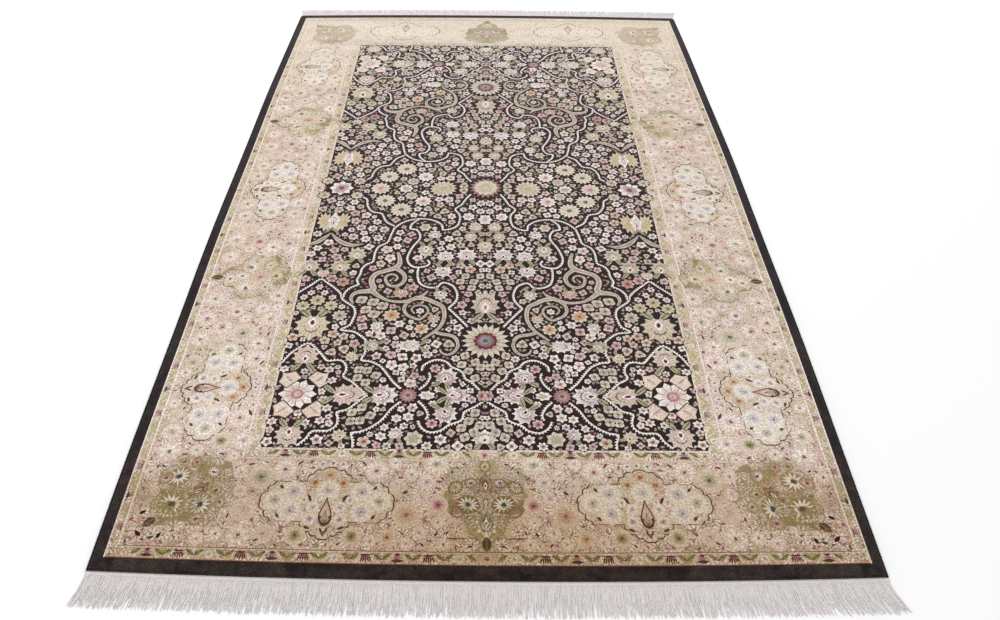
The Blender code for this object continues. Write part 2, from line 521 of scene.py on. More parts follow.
# %% The field's palmettes
PALMETTES = [
    # x, y, across, along, facing, crown, tip, shield, drop
    (428, 575, 50, 58, 90, "cream", "sand", "pink", "umber"),
    (427, 688, 36, 42, 270, "pink", "cream", "mauve", "brick"),
    (427, 912, 36, 38, 90, "pink", "cream", "mauve", "brick"),
    (322, 801, 36, 48, 180, "pink", "cream", "mauve", "brick"),
    (238, 801, 37, 40, 180, "mauve", "ivory", "rose", "umber"),
    (0, 506, 42, 58, 270, "stone", "cream", "pink", "rose"),
    (178, 646, 24, 38, 0, "cream", "ivory", "stone", "sage"),
    (272, 646, 24, 28, 0, "sage", "cream", "stone", "rose"),
    (467, 360, 32, 34, 270, "celadon", "cream", "clay", "brick"),
    (386, 360, 32, 34, 270, "celadon", "cream", "clay", "brick"),
    (427, 383, 20, 20, 90, "pink", "ivory", "rose", "brick"),
    (347, 310, 30, 33, 270, "celadon", "cream", "clay", "rose"),
    (112, 370, 29, 28, 90, "lilac", "ivory", "rose", "brick"),
    (108, 316, 29, 28, 270, "lilac", "ivory", "rose", "brick"),
    (50, 310, 33, 33, 270, "lilac", "ivory", "rose", "brick"),
    (162, 284, 27, 34, 90, "celadon", "cream", "sand", "moss"),
    (0, 266, 27, 34, 90, "sand", "cream", "honey", "brick"),
    (218, 457, 25, 22, 90, "orange", "pink", "rose", "brick"),
    (130, 550, 19, 20, 90, "orange", "cream", "rose", "brick"),
    (116, 461, 22, 24, 90, "sage", "ivory", "stone", "umber"),
    (268, 580, 20, 28, 90, "stone", "ivory", "sage", "rose"),
    (141, 222, 23, 24, 270, "mauve", "ivory", "pink", "umber"),
    (27, 187, 24, 27, 270, "pink", "cream", "clay", "rose"),
    (40, 226, 22, 25, 90, "pink", "cream", "clay", "rose"),
    (195, 912, 20, 22, 270, "mauve", "ivory", "slate", "rose"),
    (0, 922, 34, 26, 270, "celadon", "ivory", "cream", "umber"),
    (316, 682, 20, 21, 45, "sand", "cream", "orange", "umber"),
    (316, 918, 20, 21, 315, "sand", "cream", "orange", "umber"),
    (92, 749, 32, 33, 250, "mauve", "ivory", "rose", "umber"),
    (72, 800, 30, 38, 180, "mauve", "ivory", "rose", "umber"),
    (90, 850, 32, 33, 110, "mauve", "ivory", "rose", "umber"),
]
for row in PALMETTES:
    palmette(*row)
LOTUS_WING = look("honey", "sand", "russet", petals=11, depth=0.3, pointed=1.0, eye=0.0, vein=0.7, mottle=0.9)
for side in (-1, 1):
    flower(429 + 22 * side, 166, 25, LOTUS_WING, math.radians(13 * side), 1.9)
palmette(429, 168, 19, 48, 270, "ivory", "ivory", "rose", "brick", teeth=5)
chart.take(429, 170, 46)
print(len(PALMETTES), "palmettes and a lotus")

# %% [markdown]
# The rosettes are seen full face. Those on the quarter's edges, where x or y is 0, are halved by the mirror.

# %% The field's rosettes
ROSETTES = [
    # x, y, radius, petal, tip, heart, petals, inner disc, its ring, stretch along the rug, the disc's share
    (0, 0, 50, "rose", "rose", "brick", 18, "celadon", "cream", 1.04, 0.72),
    (0, 628, 60, "stone", "cream", "umber", 20, "slate", "brick", 1.0, 0.5),
    (427, 801, 44, "pink", "ivory", "brick", 10, "pink", "rose", 1.0, 0.34),
    (176, 801, 22, "stone", "rose", "brick", 14),
    (133, 801, 20, "sage", "ivory", "cream", 7, None, None, 0.7),
    (429, 0, 36, "mauve", "ivory", "brick", 8),
    (127, 0, 42, "celadon", "cream", "olive", 16, "stone", "sand", 1.0),
    (313, 0, 31, "pink", "shell", "rose", 12),
    (238, 0, 22, "stone", "ivory", "stone", 8),
    (294, 62, 32, "cream", "shell", "umber", 14),
    (244, 105, 34, "cream", "shell", "umber", 15),
    (183, 63, 26, "pink", "ivory", "rose", 10),
    (219, 37, 20, "stone", "cream", "sage", 8),
    (379, 37, 19, "celadon", "cream", "russet", 8),
    (474, 37, 19, "celadon", "cream", "russet", 8),
    (236, 542, 23, "orange", "cream", "russet", 9),
    (158, 589, 20, "orange", "cream", "russet", 8),
    (365, 544, 20, "stone", "cream", "moss", 9),
    (427, 489, 21, "celadon", "sand", "moss", 9),
    (391, 508, 19, "celadon", "sand", "moss", 9),
    (461, 511, 19, "celadon", "sand", "moss", 9),
    (118, 719, 14, "rose", "pink", "brick", 7),
    (118, 881, 14, "rose", "pink", "brick", 7),
    (8, 801, 12, "rose", "pink", "brick", 6, None, None, 1.4),
    (155, 922, 22, "sage", "cream", "stone", 7),
    (169, 187, 18, "sage", "cream", "stone", 6),
    (349, 190, 15, "mauve", "ivory", "brick", 7),
    (316, 194, 15, "mauve", "ivory", "brick", 7),
    (283, 198, 15, "stone", "ivory", "umber", 7),
    (366, 231, 15, "mauve", "ivory", "brick", 7),
    (331, 241, 15, "pink", "ivory", "brick", 7),
    (297, 236, 15, "mauve", "ivory", "brick", 7),
    (372, 418, 19, "rose", "clay", "brick", 7),
    (402, 405, 16, "rose", "pink", "brick", 6),
    (48, 137, 19, "lilac", "ivory", "mauve", 7),
    (0, 150, 21, "lilac", "ivory", "mauve", 7, None, None, 1.2),
]
for row in ROSETTES:
    rosette(*row)
print(len(ROSETTES), "rosettes")

# %% [markdown]
# Four small shields stand round each corner flower, and buds lie in rows, as close as scales.

# %% Shields and buds
SHIELD_SIZE = 23
SHIELD_OUTLINE = ((-1.0, 0.3), (-0.35, 0.6), (0.0, 1.0), (0.35, 0.6), (1.0, 0.3), (0.9, -0.8), (-0.9, -0.8))
SHIELD_LAYERS = ((1.14, plain("umber")), (1.0, plain("shell", 0.0, "beige", 1.4)))


def shield(x, y, facing):
    """A pale shield with a thin dark outline, its point towards facing."""
    here = Spot(x, y, facing)
    for share, style in SHIELD_LAYERS:
        half = SHIELD_SIZE * share
        chart.lay(here.outline([(a * half, b * half) for a, b in SHIELD_OUTLINE]), style,
                  place_at(x, y, half, half))
    leaf(*here.at(0, -SHIELD_SIZE * 0.1), SHIELD_SIZE * 1.1, SHIELD_SIZE * 0.6, here.turn,
         leaf_look("pink", "rose", "cream", 0.8))
    chart.take(x, y, SHIELD_SIZE)


for x, y, facing in ((382, 754, 225), (454, 754, 315), (382, 848, 135), (454, 848, 45)):
    shield(x, y, facing)

BUD = look("stone", "cream", "umber", petals=4, depth=0.2, eye=0.24, vein=0.6, mottle=0.8)
PINK_BUD = look("pink", "ivory", "brick", petals=6, depth=0.3, pointed=1.0, eye=0.24, vein=0.9, mottle=0.7)
BUDS = {
    # radius, look, and places
    "scales": (12, BUD, [(297, 725), (277, 727), (255, 742), (297, 750), (277, 764), (297, 852), (277, 838),
                         (255, 860), (297, 877), (277, 875)]),
    "lozenges": (12, BUD, [(49, 677), (24, 698), (56, 706), (40, 726), (11, 714), (24, 748), (22, 850),
                           (36, 873), (11, 884), (52, 892), (24, 903), (44, 917)]),
    "corner": (12, PINK_BUD, [(355, 759), (355, 841), (365, 726), (365, 876), (470, 725), (470, 880)]),
    "arch": (11, PINK_BUD, [(429, 439), (447, 461), (413, 461), (463, 478), (391, 478)]),
    "cluster": (15, BUD, [(316, 486), (286, 494), (261, 508), (302, 522), (280, 538)]),
    "side": (12, BUD, [(66, 414), (30, 414), (36, 438), (13, 392), (52, 392)]),
}
for radius, style, places in BUDS.values():
    for x, y in places:
        flower(x, y, radius * 1.1, style, math.radians(45 + 9 * (x % 5 - 2)), 0.86)
        chart.take(x, y, radius)
print("field patches with blossoms:", len(chart.outlines))

# %% [markdown]
# ## Filling the ground
#
# The weaver leaves no bare ground. Every gap gets a flower as large as it allows, and each new one is set
# against what is there already, which packs them as closely as on the rug. Flowers of a kind grow in groups,
# so each small region of the chart draws from its own few kinds.

# %% Filling the ground
GRID = 4.0
FLOWER_SIZES = ((12, 15), (9, 11), (6.5, 8.5))  # the least and most radius of each round of filling
LEAF_SIZES = ((3.3, 5.2),)
LEAF_SHAPE = (2.9, 1.4)  # length and width in radii of the gap
OVERHANG = 4.0  # how far a flower may reach past the ground's edge
REGION = 85.0
END_ZONE = 480.0  # beyond this the field's flowers stand closest


def fill(high, inside, radii, draw, gap):
    """Places as (x, y, radius) from the centre to high, close together and clear of what is taken."""
    xs, ys = np.meshgrid(np.arange(0, high[0], GRID), np.arange(0, high[1], GRID))
    xs, ys = xs.ravel(), ys.ravel()
    noise = np.array([draw.random() for _ in range(2 * len(xs))]) - 0.5
    xs = xs + noise[: len(xs)] * GRID
    ys = ys + noise[len(xs):] * GRID
    keep = inside(xs, ys)
    xs, ys = xs[keep], ys[keep]
    free = np.minimum.reduce([xs, high[0] - xs, ys, high[1] - ys]) + OVERHANG
    for x, y, radius in chart.taken:
        free = np.minimum(free, np.hypot(xs - x, ys - y) - radius)
    found = []
    for least, most in radii:
        while True:
            radius = draw.uniform(least, most)
            fits = np.where(free >= radius + gap)[0]
            if not len(fits):
                break
            pick = fits[np.argmin(free[fits])]
            x, y = xs[pick], ys[pick]
            found.append((x, y, radius))
            chart.take(x, y, radius)
            free = np.minimum(free, np.hypot(xs - x, ys - y) - radius)
    return found


def everywhere(xs, ys):
    return ys > -GRID


def toward_ends(xs, ys):
    return ys > END_ZONE


def kind_near(x, y, kinds, draw):
    """One of a few kinds that the region of the chart prefers. Each region has a seed of its own."""
    region = random.Random(int(x // REGION) * 31 + int(y // REGION) * 17)
    return draw.choice(region.sample(kinds, 2) + [draw.choice(kinds)])


draw = random.Random(7)
FIELD_FLOWERS = [
    look(petal, tip, heart, petals=petals, depth=depth, pointed=pointed, eye=eye, vein=vein, mottle=mottle)
    for petal, tip, heart, petals, depth, pointed, eye, vein, mottle in (
        ("pink", "ivory", "brick", 5, 0.24, 0.0, 0.24, 0.9, 0.7),
        ("mauve", "ivory", "brick", 6, 0.28, 1.0, 0.24, 0.9, 0.7),
        ("clay", "ivory", "umber", 5, 0.3, 1.0, 0.28, 0.8, 0.7),
        ("mauve", "pink", "brick", 5, 0.26, 0.0, 0.28, 0.8, 0.7),
        ("cream", "ivory", "rose", 6, 0.3, 1.0, 0.32, 0.6, 0.3),
        ("stone", "cream", "umber", 3, 0.26, 1.0, 0.26, 0.9, 0.3),
        ("stone", "ivory", "moss", 7, 0.28, 1.0, 0.24, 0.9, 0.3),
        ("pink", "ivory", "umber", 4, 0.26, 1.0, 0.3, 0.9, 0.3),
        ("clay", "cream", "brick", 5, 0.28, 0.0, 0.28, 0.9, 0.7),
        ("mauve", "pink", "umber", 4, 0.28, 1.0, 0.26, 0.9, 0.3),
    )
]
FIELD_LEAVES = [leaf_look(dye, rib) for dye, rib in (
    ("sage", "moss"), ("cream", "umber"), ("mauve", "brick"), ("celadon", "moss"), ("rose", "brick"),
    ("stone", "umber"),
)]
large_motifs = len(chart.outlines)
flowers, leaves = [], []
for inside, gap in ((toward_ends, 1.0), (everywhere, 2.4)):
    flowers += fill(FIELD, inside, FLOWER_SIZES, draw, gap)
for x, y, radius in flowers:
    style = kind_near(x, y, FIELD_FLOWERS, draw)
    flower(x, y, radius * 1.1, style, draw.uniform(0, math.pi), draw.uniform(0.86, 1.0))
for inside, gap in ((toward_ends, 0.6), (everywhere, 1.2)):
    leaves += fill(FIELD, inside, LEAF_SIZES, draw, gap)
for x, y, radius in leaves:
    length, width = radius * LEAF_SHAPE[0], radius * LEAF_SHAPE[1]
    leaf(x, y, length, width, draw.uniform(0, math.pi), kind_near(x, y, FIELD_LEAVES, draw))
chart.slide_under(GROUNDS, large_motifs)
print("field:", len(flowers), "flowers and", len(leaves), "leaves in the quarter")

# %% [markdown]
# ## Cartouches
#
# The border holds lobed cartouches: a long panel with a taller medallion across its middle, drawn with a thin
# dark line on almost the same ground. One listed half outline serves all of them, turned and stretched.

# %% Cartouches
CARTOUCHE_HALF = (  # aside of the middle, ahead of it, and the bulge of the edge that follows
    (0, 78, 0.12), (16, 70, 0.3), (34, 62, 0.3), (44, 45, 0.0), (96, 43, 0.25), (112, 36, 0.3),
    (122, 22, 0.25), (134, 0, 0.25), (122, -22, 0.3), (112, -36, 0.25), (96, -43, 0.0), (46, -43, 0.3),
    (42, -55, 0.3), (28, -63, 0.3), (14, -71, 0.25), (0, -79, 0.0),
)
CARTOUCHE_LINE = 2.9
CARTOUCHE_SIZE = 80
MEDALLION = 50  # the panel beyond it is stretched along the border
PANEL_FLOWERS = (
    # aside, ahead, radius, petal
    (70, 22, 24, "lilac"), (72, -21, 23, "lilac"), (106, 2, 22, "celadon"), (27, -12, 13, "lilac"),
    (30, -38, 13, "mauve"), (47, 4, 9, "celadon"),
)
CARTOUCHE_LEAVES = (
    # aside, ahead, length, width, slope, dye
    (10, -34, 8, 7, 0.0, "brick"), (8, -45, 12, 6, 0.5, "moss"), (5, -62, 14, 5, 0.3, "umber"),
    (36, 8, 20, 8, 0.5, "umber"), (34, -56, 16, 7, 1.2, "moss"), (0, -68, 12, 10, 0.0, "russet"),
)
DROP_HALF = ((0, 34, 0), (5, 18, 0), (11, 4, 0), (14, -8, 0), (13, -18, 0), (7, -28, 0), (0, -31, 0))
DROP_LENGTH = 34  # above its widest part
DROP_LAYERS = (
    # share of the drop's size, how far ahead, dye, rim
    (1.0, -22, "umber", "umber"), (0.78, -22, "pink", "orange"), (0.42, -32, "sage", "moss"),
)
ORANGE_FLOWER = look("orange", "sand", "russet", "shell", petals=5, depth=0.2, line=0.08)
ORANGE_PLACES = ((0, 61), (-29, 43), (29, 43))


def rayed(petal, tip, heart, ground, petals=12, depth=0.36, eye=0.12, **more):
    """The look of a flower with fine pointed rays."""
    return look(petal, tip, heart, ground, petals=petals, depth=depth, pointed=1.0, eye=eye, vein=1.0, **more)


def drop(here):
    """The outlined drop in a cartouche's middle."""
    for share, ahead, dye, rim in DROP_LAYERS:
        points = [(p * share, q * share + ahead) for p, q in scalloped(DROP_HALF)]
        size = DROP_LENGTH * share
        chart.lay(here.outline(points), plain(dye, 0.0, rim, 0.6), place_at(*here.at(0, ahead), size, size))


def cartouche(x, y, facing, stretch):
    """A cartouche whose orange flowers point to facing, in degrees. It lies across that direction."""
    here = Spot(x, y, facing)
    half = [(a * stretch if a > MEDALLION else a, b, bulge) for a, b, bulge in CARTOUCHE_HALF]
    place = place_at(x, y, CARTOUCHE_SIZE, CARTOUCHE_SIZE)
    chart.lay(here.outline(scalloped(half, CARTOUCHE_LINE)), plain("moss"), place)
    chart.lay(here.outline(scalloped(half)), plain("shell", 0.55), place)
    flower(*here.at(0, 46), 30, plain("sand", 0.3), here.turn)
    for aside, ahead in ORANGE_PLACES:
        flower(*here.at(aside, ahead), 13.5, ORANGE_FLOWER, here.turn)
    flower(*here.at(0, 26), 24, dahlia("lilac", "ivory", "sage", "shell", petals=12), here.turn)
    drop(here)
    for aside, ahead, length, width, slope, dye in CARTOUCHE_LEAVES:
        for s in (-1, 1):
            turn = here.turn + slope * s
            leaf(*here.at(aside * s, ahead), length, width, turn, leaf_look(dye, dye, "shell"))
    for s in (-1, 1):
        for aside, ahead, radius, petal in PANEL_FLOWERS:
            wide = aside * (stretch if aside > MEDALLION else 1)
            flower(*here.at(wide * s, ahead), radius, rayed(petal, "ivory", "steel", "shell"), here.turn)
        for ahead in (32, -32):
            spot = here.at(96 * s * stretch, ahead)
            leaf(*spot, 13, 7, here.turn + 0.7 * s, leaf_look("umber", "umber", "shell"))
        chart.take(*here.at(90 * s * stretch, 0), 47)
        chart.take(*here.at(55 * s, 0), 44)
    chart.take(*here.at(0, 30), 52)
    chart.take(*here.at(0, -30), 50)


for x, y, facing, stretch in ((323, 1076, 270, 1.0), (615, 0, 180, 1.1), (615, 781, 180, 1.1)):
    cartouche(x, y, facing, stretch)
print("with cartouches:", len(chart.outlines))

# %% [markdown]
# ## Star medallions
#
# Between the cartouches lie ragged olive stars. Their flowers have fine rays round dark hearts.

# %% Star medallions
STAR_HALF = (  # as for the cartouche
    (0, 99, 0.0), (20, 92, 0.3), (36, 80, -0.1), (58, 76, 0.3), (76, 62, 0.3), (84, 44, -0.1),
    (72, 24, 0.2), (82, 2, 0.3), (74, -22, 0.2), (48, -34, -0.1), (38, -52, 0.2), (26, -70, -0.1),
    (14, -90, 0.0), (0, -106, 0.0),
)
STAR_LINE = 3.5
STAR_SIZE = 95
STAR_FLOWERS = {
    # from the star's middle: aside, ahead, radius, petal, tip, heart
    "end": [(36, -8, 24, "sage", "ivory", "charcoal"), (-36, -8, 24, "sage", "ivory", "charcoal"),
            (30, 40, 14, "mauve", "ivory", "umber"), (-30, 40, 14, "mauve", "ivory", "umber"),
            (58, -26, 14, "rose", "pink", "olive"), (-58, -26, 14, "rose", "pink", "olive"),
            (0, 80, 15, "olive", "sand", "umber"),
            (62, 30, 17, "sage", "cream", "olive"), (-62, 30, 17, "sage", "cream", "olive")],
    "corner": [(0, 0, 15, "russet", "sand", "umber"), (-37, 3, 27, "sage", "ivory", "charcoal"),
               (50, 7, 27, "sage", "ivory", "charcoal"), (5, -38, 29, "olive", "ivory", "umber"),
               (66, -14, 16, "rose", "pink", "brick"), (-60, -20, 16, "rose", "pink", "brick"),
               (8, 65, 16, "mauve", "ivory", "charcoal"), (-32, 44, 13, "olive", "sand", "charcoal"),
               (54, 52, 14, "rose", "clay", "brick"), (-6, 38, 18, "clay", "sand", "russet"),
               (-62, 34, 14, "olive", "cream", "moss"), (74, 34, 12, "olive", "cream", "moss")],
    "side": [(37, -10, 23, "stone", "ivory", "moss"), (-45, -10, 23, "stone", "ivory", "moss"),
             (-3, 20, 27, "clay", "pink", "rose"), (3, -27, 19, "sage", "ivory", "umber"),
             (-8, -56, 18, "pink", "ivory", "umber"), (42, 40, 14, "mauve", "cream", "moss"),
             (-43, 40, 14, "mauve", "cream", "moss"), (0, 62, 17, "olive", "cream", "moss")],
}
STAR_PALMETTES = {
    # from the star's middle: aside, ahead, across, along, turn, crown, tip, shield, drop
    "end": [(0, 36, 18, 27, 0, "clay", "fawn", "brick", "umber"),
            (0, -2, 15, 20, 0, "sage", "clay", "umber", "olive"),
            (0, -50, 24, 30, 180, "olive", "ivory", "umber", "olive")],
    "corner": [(-8, 20, 17, 24, 0, "clay", "fawn", "brick", "umber")],
    "side": [],
}


def star(name, x, y, facing, dye, strewn):
    """A star medallion whose point lies away from facing."""
    here = Spot(x, y, facing)
    place = place_at(x, y, STAR_SIZE, STAR_SIZE)
    chart.lay(here.outline(scalloped(STAR_HALF, STAR_LINE)), plain("olive", 0.3, "olive"), place)
    chart.lay(here.outline(scalloped(STAR_HALF)), plain(dye, strewn, "olive", 1.2), place)
    for aside, ahead, radius, petal, tip, heart in STAR_FLOWERS[name]:
        style = rayed(petal, tip, heart, dye, petals=13, depth=0.5, eye=0.24, mottle=1.8)
        flower(*here.at(aside, ahead), radius, style, here.turn + aside, 0.8)
    for aside, ahead, across, along, turn, *dyes in STAR_PALMETTES[name]:
        palmette(*here.at(aside, ahead), across, along, facing + turn, *dyes, dye, 7)
    leaf(*here.at(0, -91), 32, 21, here.turn, leaf_look("moss", "fawn", "olive", 0.8))
    chart.take(x, y, 84)
    chart.take(*here.at(0, -78), 24)


star("end", 0, 1070, 270, "fawn", 0.5)
star("corner", 607, 1062, 225, "bronze", 0.6)
# The side star's sand ground, paler than at the ends, is painted sheen.
star("side", 610, 395, 180, "sand", 1.0)
print("with stars:", len(chart.outlines))

# %% [markdown]
# ## Filling the border
#
# Rayed flowers and short dark strokes, some placed one by one and the rest wherever there is room.

# %% Filling the border
INNER_MARGIN, OUTER_MARGIN = 6, 4
BORDER_FLOWER_SIZES = ((20, 26), (12, 15))
BORDER_STROKE_SIZES = ((3.6, 4.4),)
BORDER_SINGLES = (
    # x, y, radius, petal, tip, heart
    (97, 1080, 20, "rose", "pink", "brick"), (122, 1028, 18, "lilac", "ivory", "rose"),
    (160, 1102, 28, "clay", "sand", "russet"), (466, 1022, 27, "sage", "cream", "moss"),
    (228, 1003, 24, "pink", "ivory", "brick"), (418, 1003, 24, "pink", "ivory", "brick"),
    (592, 606, 32, "celadon", "cream", "moss"), (542, 870, 26, "pink", "ivory", "brick"),
    (542, 692, 26, "pink", "ivory", "brick"), (570, 932, 22, "olive", "cream", "moss"),
    (342, 989, 8, "slate", "ivory", "charcoal"), (320, 987, 8, "slate", "ivory", "charcoal"),
    (299, 989, 8, "slate", "ivory", "charcoal"), (529, 807, 8, "slate", "ivory", "umber"),
    (526, 782, 8, "slate", "ivory", "umber"), (529, 757, 8, "slate", "ivory", "umber"),
    (377, 1149, 20, "olive", "sand", "moss"), (266, 1149, 20, "olive", "sand", "moss"),
    (440, 1146, 20, "pink", "cream", "rose"), (196, 1150, 16, "orange", "sand", "umber"),
    (488, 1094, 24, "pink", "cream", "clay"), (622, 530, 16, "rose", "ivory", "brick"),
    (620, 250, 18, "rose", "pink", "brick"), (537, 262, 15, "slate", "cream", "umber"),
    (660, 190, 24, "pink", "cream", "clay"), (560, 180, 22, "celadon", "cream", "olive"),
    (645, 640, 20, "pink", "cream", "clay"), (560, 520, 18, "lilac", "ivory", "clay"),
    (690, 700, 16, "sage", "cream", "olive"), (690, 860, 16, "pink", "cream", "clay"),
)
BORDER_STROKES = (
    # x, y, length, width, slope in degrees, dye
    (389, 987, 18, 5, 50, "brick"), (254, 987, 18, 5, 130, "brick"), (529, 610, 22, 5, 80, "brick"),
    (526, 705, 20, 6, 60, "brick"), (522, 856, 22, 7, 120, "brick"), (490, 992, 16, 5, 20, "brick"),
    (687, 347, 22, 5, 100, "mauve"), (692, 426, 26, 5, 40, "mauve"), (690, 1105, 16, 8, 30, "charcoal"),
    (687, 1152, 20, 9, 140, "charcoal"), (645, 1155, 16, 8, 60, "charcoal"),
    (672, 1131, 18, 8, 150, "russet"), (692, 1124, 20, 10, 100, "orange"), (660, 1160, 14, 7, 20, "umber"),
    (165, 1052, 14, 8, 40, "moss"),
    (60, 1150, 60, 4, 0, "russet"), (571, 220, 14, 6, 70, "umber"), (578, 160, 16, 5, 10, "umber"),
    (100, 1142, 12, 6, 60, "brick"), (640, 966, 14, 5, 20, "umber"), (560, 966, 14, 5, 160, "umber"),
    (184, 1008, 14, 5, 120, "rose"), (452, 1160, 12, 5, 30, "moss"), (528, 320, 14, 4, 70, "rose"),
)


def in_border(xs, ys):
    beyond = (xs > BORDER_INNER[0] + INNER_MARGIN) | (ys > BORDER_INNER[1] + INNER_MARGIN)
    return beyond & (xs < BORDER_OUTER[0] - OUTER_MARGIN) & (ys < BORDER_OUTER[1] - OUTER_MARGIN)


for x, y, radius, petal, tip, heart in BORDER_SINGLES:
    flower(x, y, radius, dahlia(petal, tip, heart))
    chart.take(x, y, radius * 0.9)
for x, y, length, width, slope, dye in BORDER_STROKES:
    leaf(x, y, length, width, math.radians(slope), leaf_look(dye, dye, "beige", 0.5))
    chart.take(x, y, 5)
BORDER_FLOWERS = [
    dahlia(petal, "ivory", heart, petals=petals, depth=0.5, mottle=0.9)
    for petal, heart, petals in (
        ("pink", "rose", 9), ("clay", "brick", 8), ("celadon", "olive", 9), ("sand", "umber", 7),
        ("lilac", "rose", 9), ("sand", "moss", 7),
    )
]
flowers = fill(BORDER_OUTER, in_border, BORDER_FLOWER_SIZES, draw, 6.0)
for x, y, radius in flowers:
    flower(x, y, radius, kind_near(x, y, BORDER_FLOWERS, draw), draw.uniform(0, math.pi))
strokes = fill(BORDER_OUTER, in_border, BORDER_STROKE_SIZES, draw, 7.5)
for x, y, radius in strokes:
    dye = draw.choice(("rose", "olive", "clay", "russet", "fawn", "moss", "umber"))
    leaf(x, y, radius * 3.0, radius * 1.1, draw.uniform(0, math.pi), leaf_look(dye, dye, "beige", 0.5))
print("border:", len(flowers), "flowers and", len(strokes), "strokes in the quarter")

# %% [markdown]
# ## Guard stripes
#
# Both narrow stripes repeat a dark red comb-like tulip, a dark boat and a pale flower. Olive leaves and cream
# lines part the cells.

# %% Guard stripes
BOLD = ("olive", "moss", "brick", "umber")
FAINT = ("citron", "sage", "rose", "umber")
TULIP_PETALS = (-2, -1, 0, 1, 2)


def guard(start, pitch, count, width, facing, ground, dyes):
    """A stripe of cells from start, along the turned direction. Facing points to the rug's outside."""
    leaf_dye, rib, red, dark = dyes
    side = 1 if facing == 90 else -1
    along = facing - 90 * side
    here = Spot(*start, along)
    out = math.radians(facing)

    def stroke(spot, outwards, ahead, length, thick, turn, dye, rib=None):
        """A leaf-shaped stroke. Its places and sizes are shares of the stripe's width."""
        leaf(*spot.at(side * width * outwards, ahead), length, width * thick, turn,
             leaf_look(dye, rib or dye, ground))

    for i in range(count):
        spot = Spot(*here.at(0, pitch * i), along)
        kind = ("pale", "tulip", "boat", "tulip")[i % 4]
        for s in (-1, 1):
            turn = spot.turn + 0.6 * s * side
            stroke(spot, -0.12, s * pitch * 0.37, pitch * 0.38, 0.42, turn, leaf_dye, rib)
            stroke(spot, 0, s * pitch * 0.25, width * 1.2, 0.15, out - s * side * 0.65, "cream")
        if kind == "tulip":
            stroke(spot, -0.26, 0, width * 1.2, 0.18, spot.turn, dark)
            for p in TULIP_PETALS:
                length = width * (0.8 - 0.09 * abs(p))
                stroke(spot, 0.04, p * width * 0.17, length, 0.16, out - p * side * 0.16, red)
        elif kind == "boat":
            for outwards, length, thick, dye in ((0.2, 1.1, 0.34, dark), (-0.08, 0.7, 0.3, "rose"),
                                                 (-0.3, 0.5, 0.24, red)):
                stroke(spot, outwards, 0, width * length, thick, spot.turn, dye)
        else:
            flower(*spot.at(0, 0), width * 0.42, dahlia("celadon", "ivory", "slate", ground, petals=8))


outer = (BAND_INNER[0] + BORDER_OUTER[0]) / 2 + 1, (BAND_INNER[1] + BORDER_OUTER[1]) / 2 + 1
inner = (BORDER_INNER[0] + FIELD[0]) / 2, (BORDER_INNER[1] + FIELD[1]) / 2
for row in (
    # start, pitch, count, width, facing, ground, dyes
    ((52, outer[1]), 60.5, 11, 24, 90, "honey", BOLD), ((62, inner[1]), 60.5, 7, 24, 90, "sand", BOLD),
    ((outer[0], 72), 71, 16, 18, 0, "honey", FAINT), ((inner[0], 72), 71, 13, 20, 0, "sand", FAINT),
):
    guard(*row)
for x, y, width, ground in ((0, outer[1], 24, "honey"), (0, inner[1], 26, "sand"),
                            (outer[0], 0, 20, "honey"), (inner[0], 0, 26, "sand")):
    flower(x, y, width * 0.5, dahlia("rose", "pink", "brick", ground, petals=6))
print("patches in all:", len(chart.outlines))

# %% [markdown]
# ## From chart to mesh
#
# A constrained triangulation cuts the overlapping outlines into one flat mesh and says which patches cover
# each triangle; the last one laid is the one that shows. The quarter is then mirrored, welded along its axes,
# drawn out of true, and given its rounded rim and its back.

# %% Cut the quarter
CUT_TOLERANCE = 1e-4
INSIDE_CONSTRAINTS = 1  # the cut keeps only the triangles that some outline covers
RIM_INSET = 2.0
END_POINTS, SIDE_POINTS = 40, 60  # along the quarter's end and side

top_x, top_y = PILE_X - RIM_INSET, HALF_Y - RIM_INSET


def cut_quarter():
    """Vertices in millimetres, triangles, and the number of the patch that shows in each."""
    edge = [(0.0, 0.0)] + [(top_x, top_y * i / SIDE_POINTS) for i in range(SIDE_POINTS)]
    edge += [(top_x * i / END_POINTS, top_y) for i in range(END_POINTS, -1, -1)]
    points = [Vector(p) for p in edge]
    faces = [list(range(len(edge)))]
    for outline in chart.outlines:
        first = len(points)
        points += [Vector(p) for p in outline]
        faces.append(list(range(first, first + len(outline))))
    cut = delaunay_2d_cdt(points, [], faces, INSIDE_CONSTRAINTS, CUT_TOLERANCE)
    found, _, triangles, _, _, sources = cut
    rows = [(t, max(s) - 1) for t, s in zip(triangles, sources) if 0 in s and max(s) > 0]
    flat = np.array([tuple(p) for p in found])
    flat[np.abs(flat) < CUT_TOLERANCE] = 0.0
    return flat, np.array([t for t, _ in rows]), np.array([p for _, p in rows])


quarter_points, quarter_faces, quarter_patches = cut_quarter()
print("quarter:", len(quarter_points), "points,", len(quarter_faces), "triangles")

# %% [markdown]
# Each quarter is the first one turned over, once or twice. A row of points round the rim goes down to the
# floor in a few steps, and a fan of triangles closes the back.

# %% Mirror it and give it thickness
WELD_DIGITS = 3  # of a millimetre
ON_RIM = 0.01
RIM = ((0.6, 8.4), (2.0, 7.0), (2.0, 0.6), (1.2, 0.0))  # outwards and height, in millimetres
DRIFT_X, DRIFT_Y = -5.0, 11.0
HOLD_X, HOLD_Y = 260, 280  # the field's drift fades out over this much of the border
BORDER_DRIFT_X, BORDER_HOLD = 1.0, 20
MIDDLE_DRIFT, MIDDLE_REACH = 7.0, 330.0
CENTRE_DRIFT, CENTRE_REACH = 9.0, 85.0


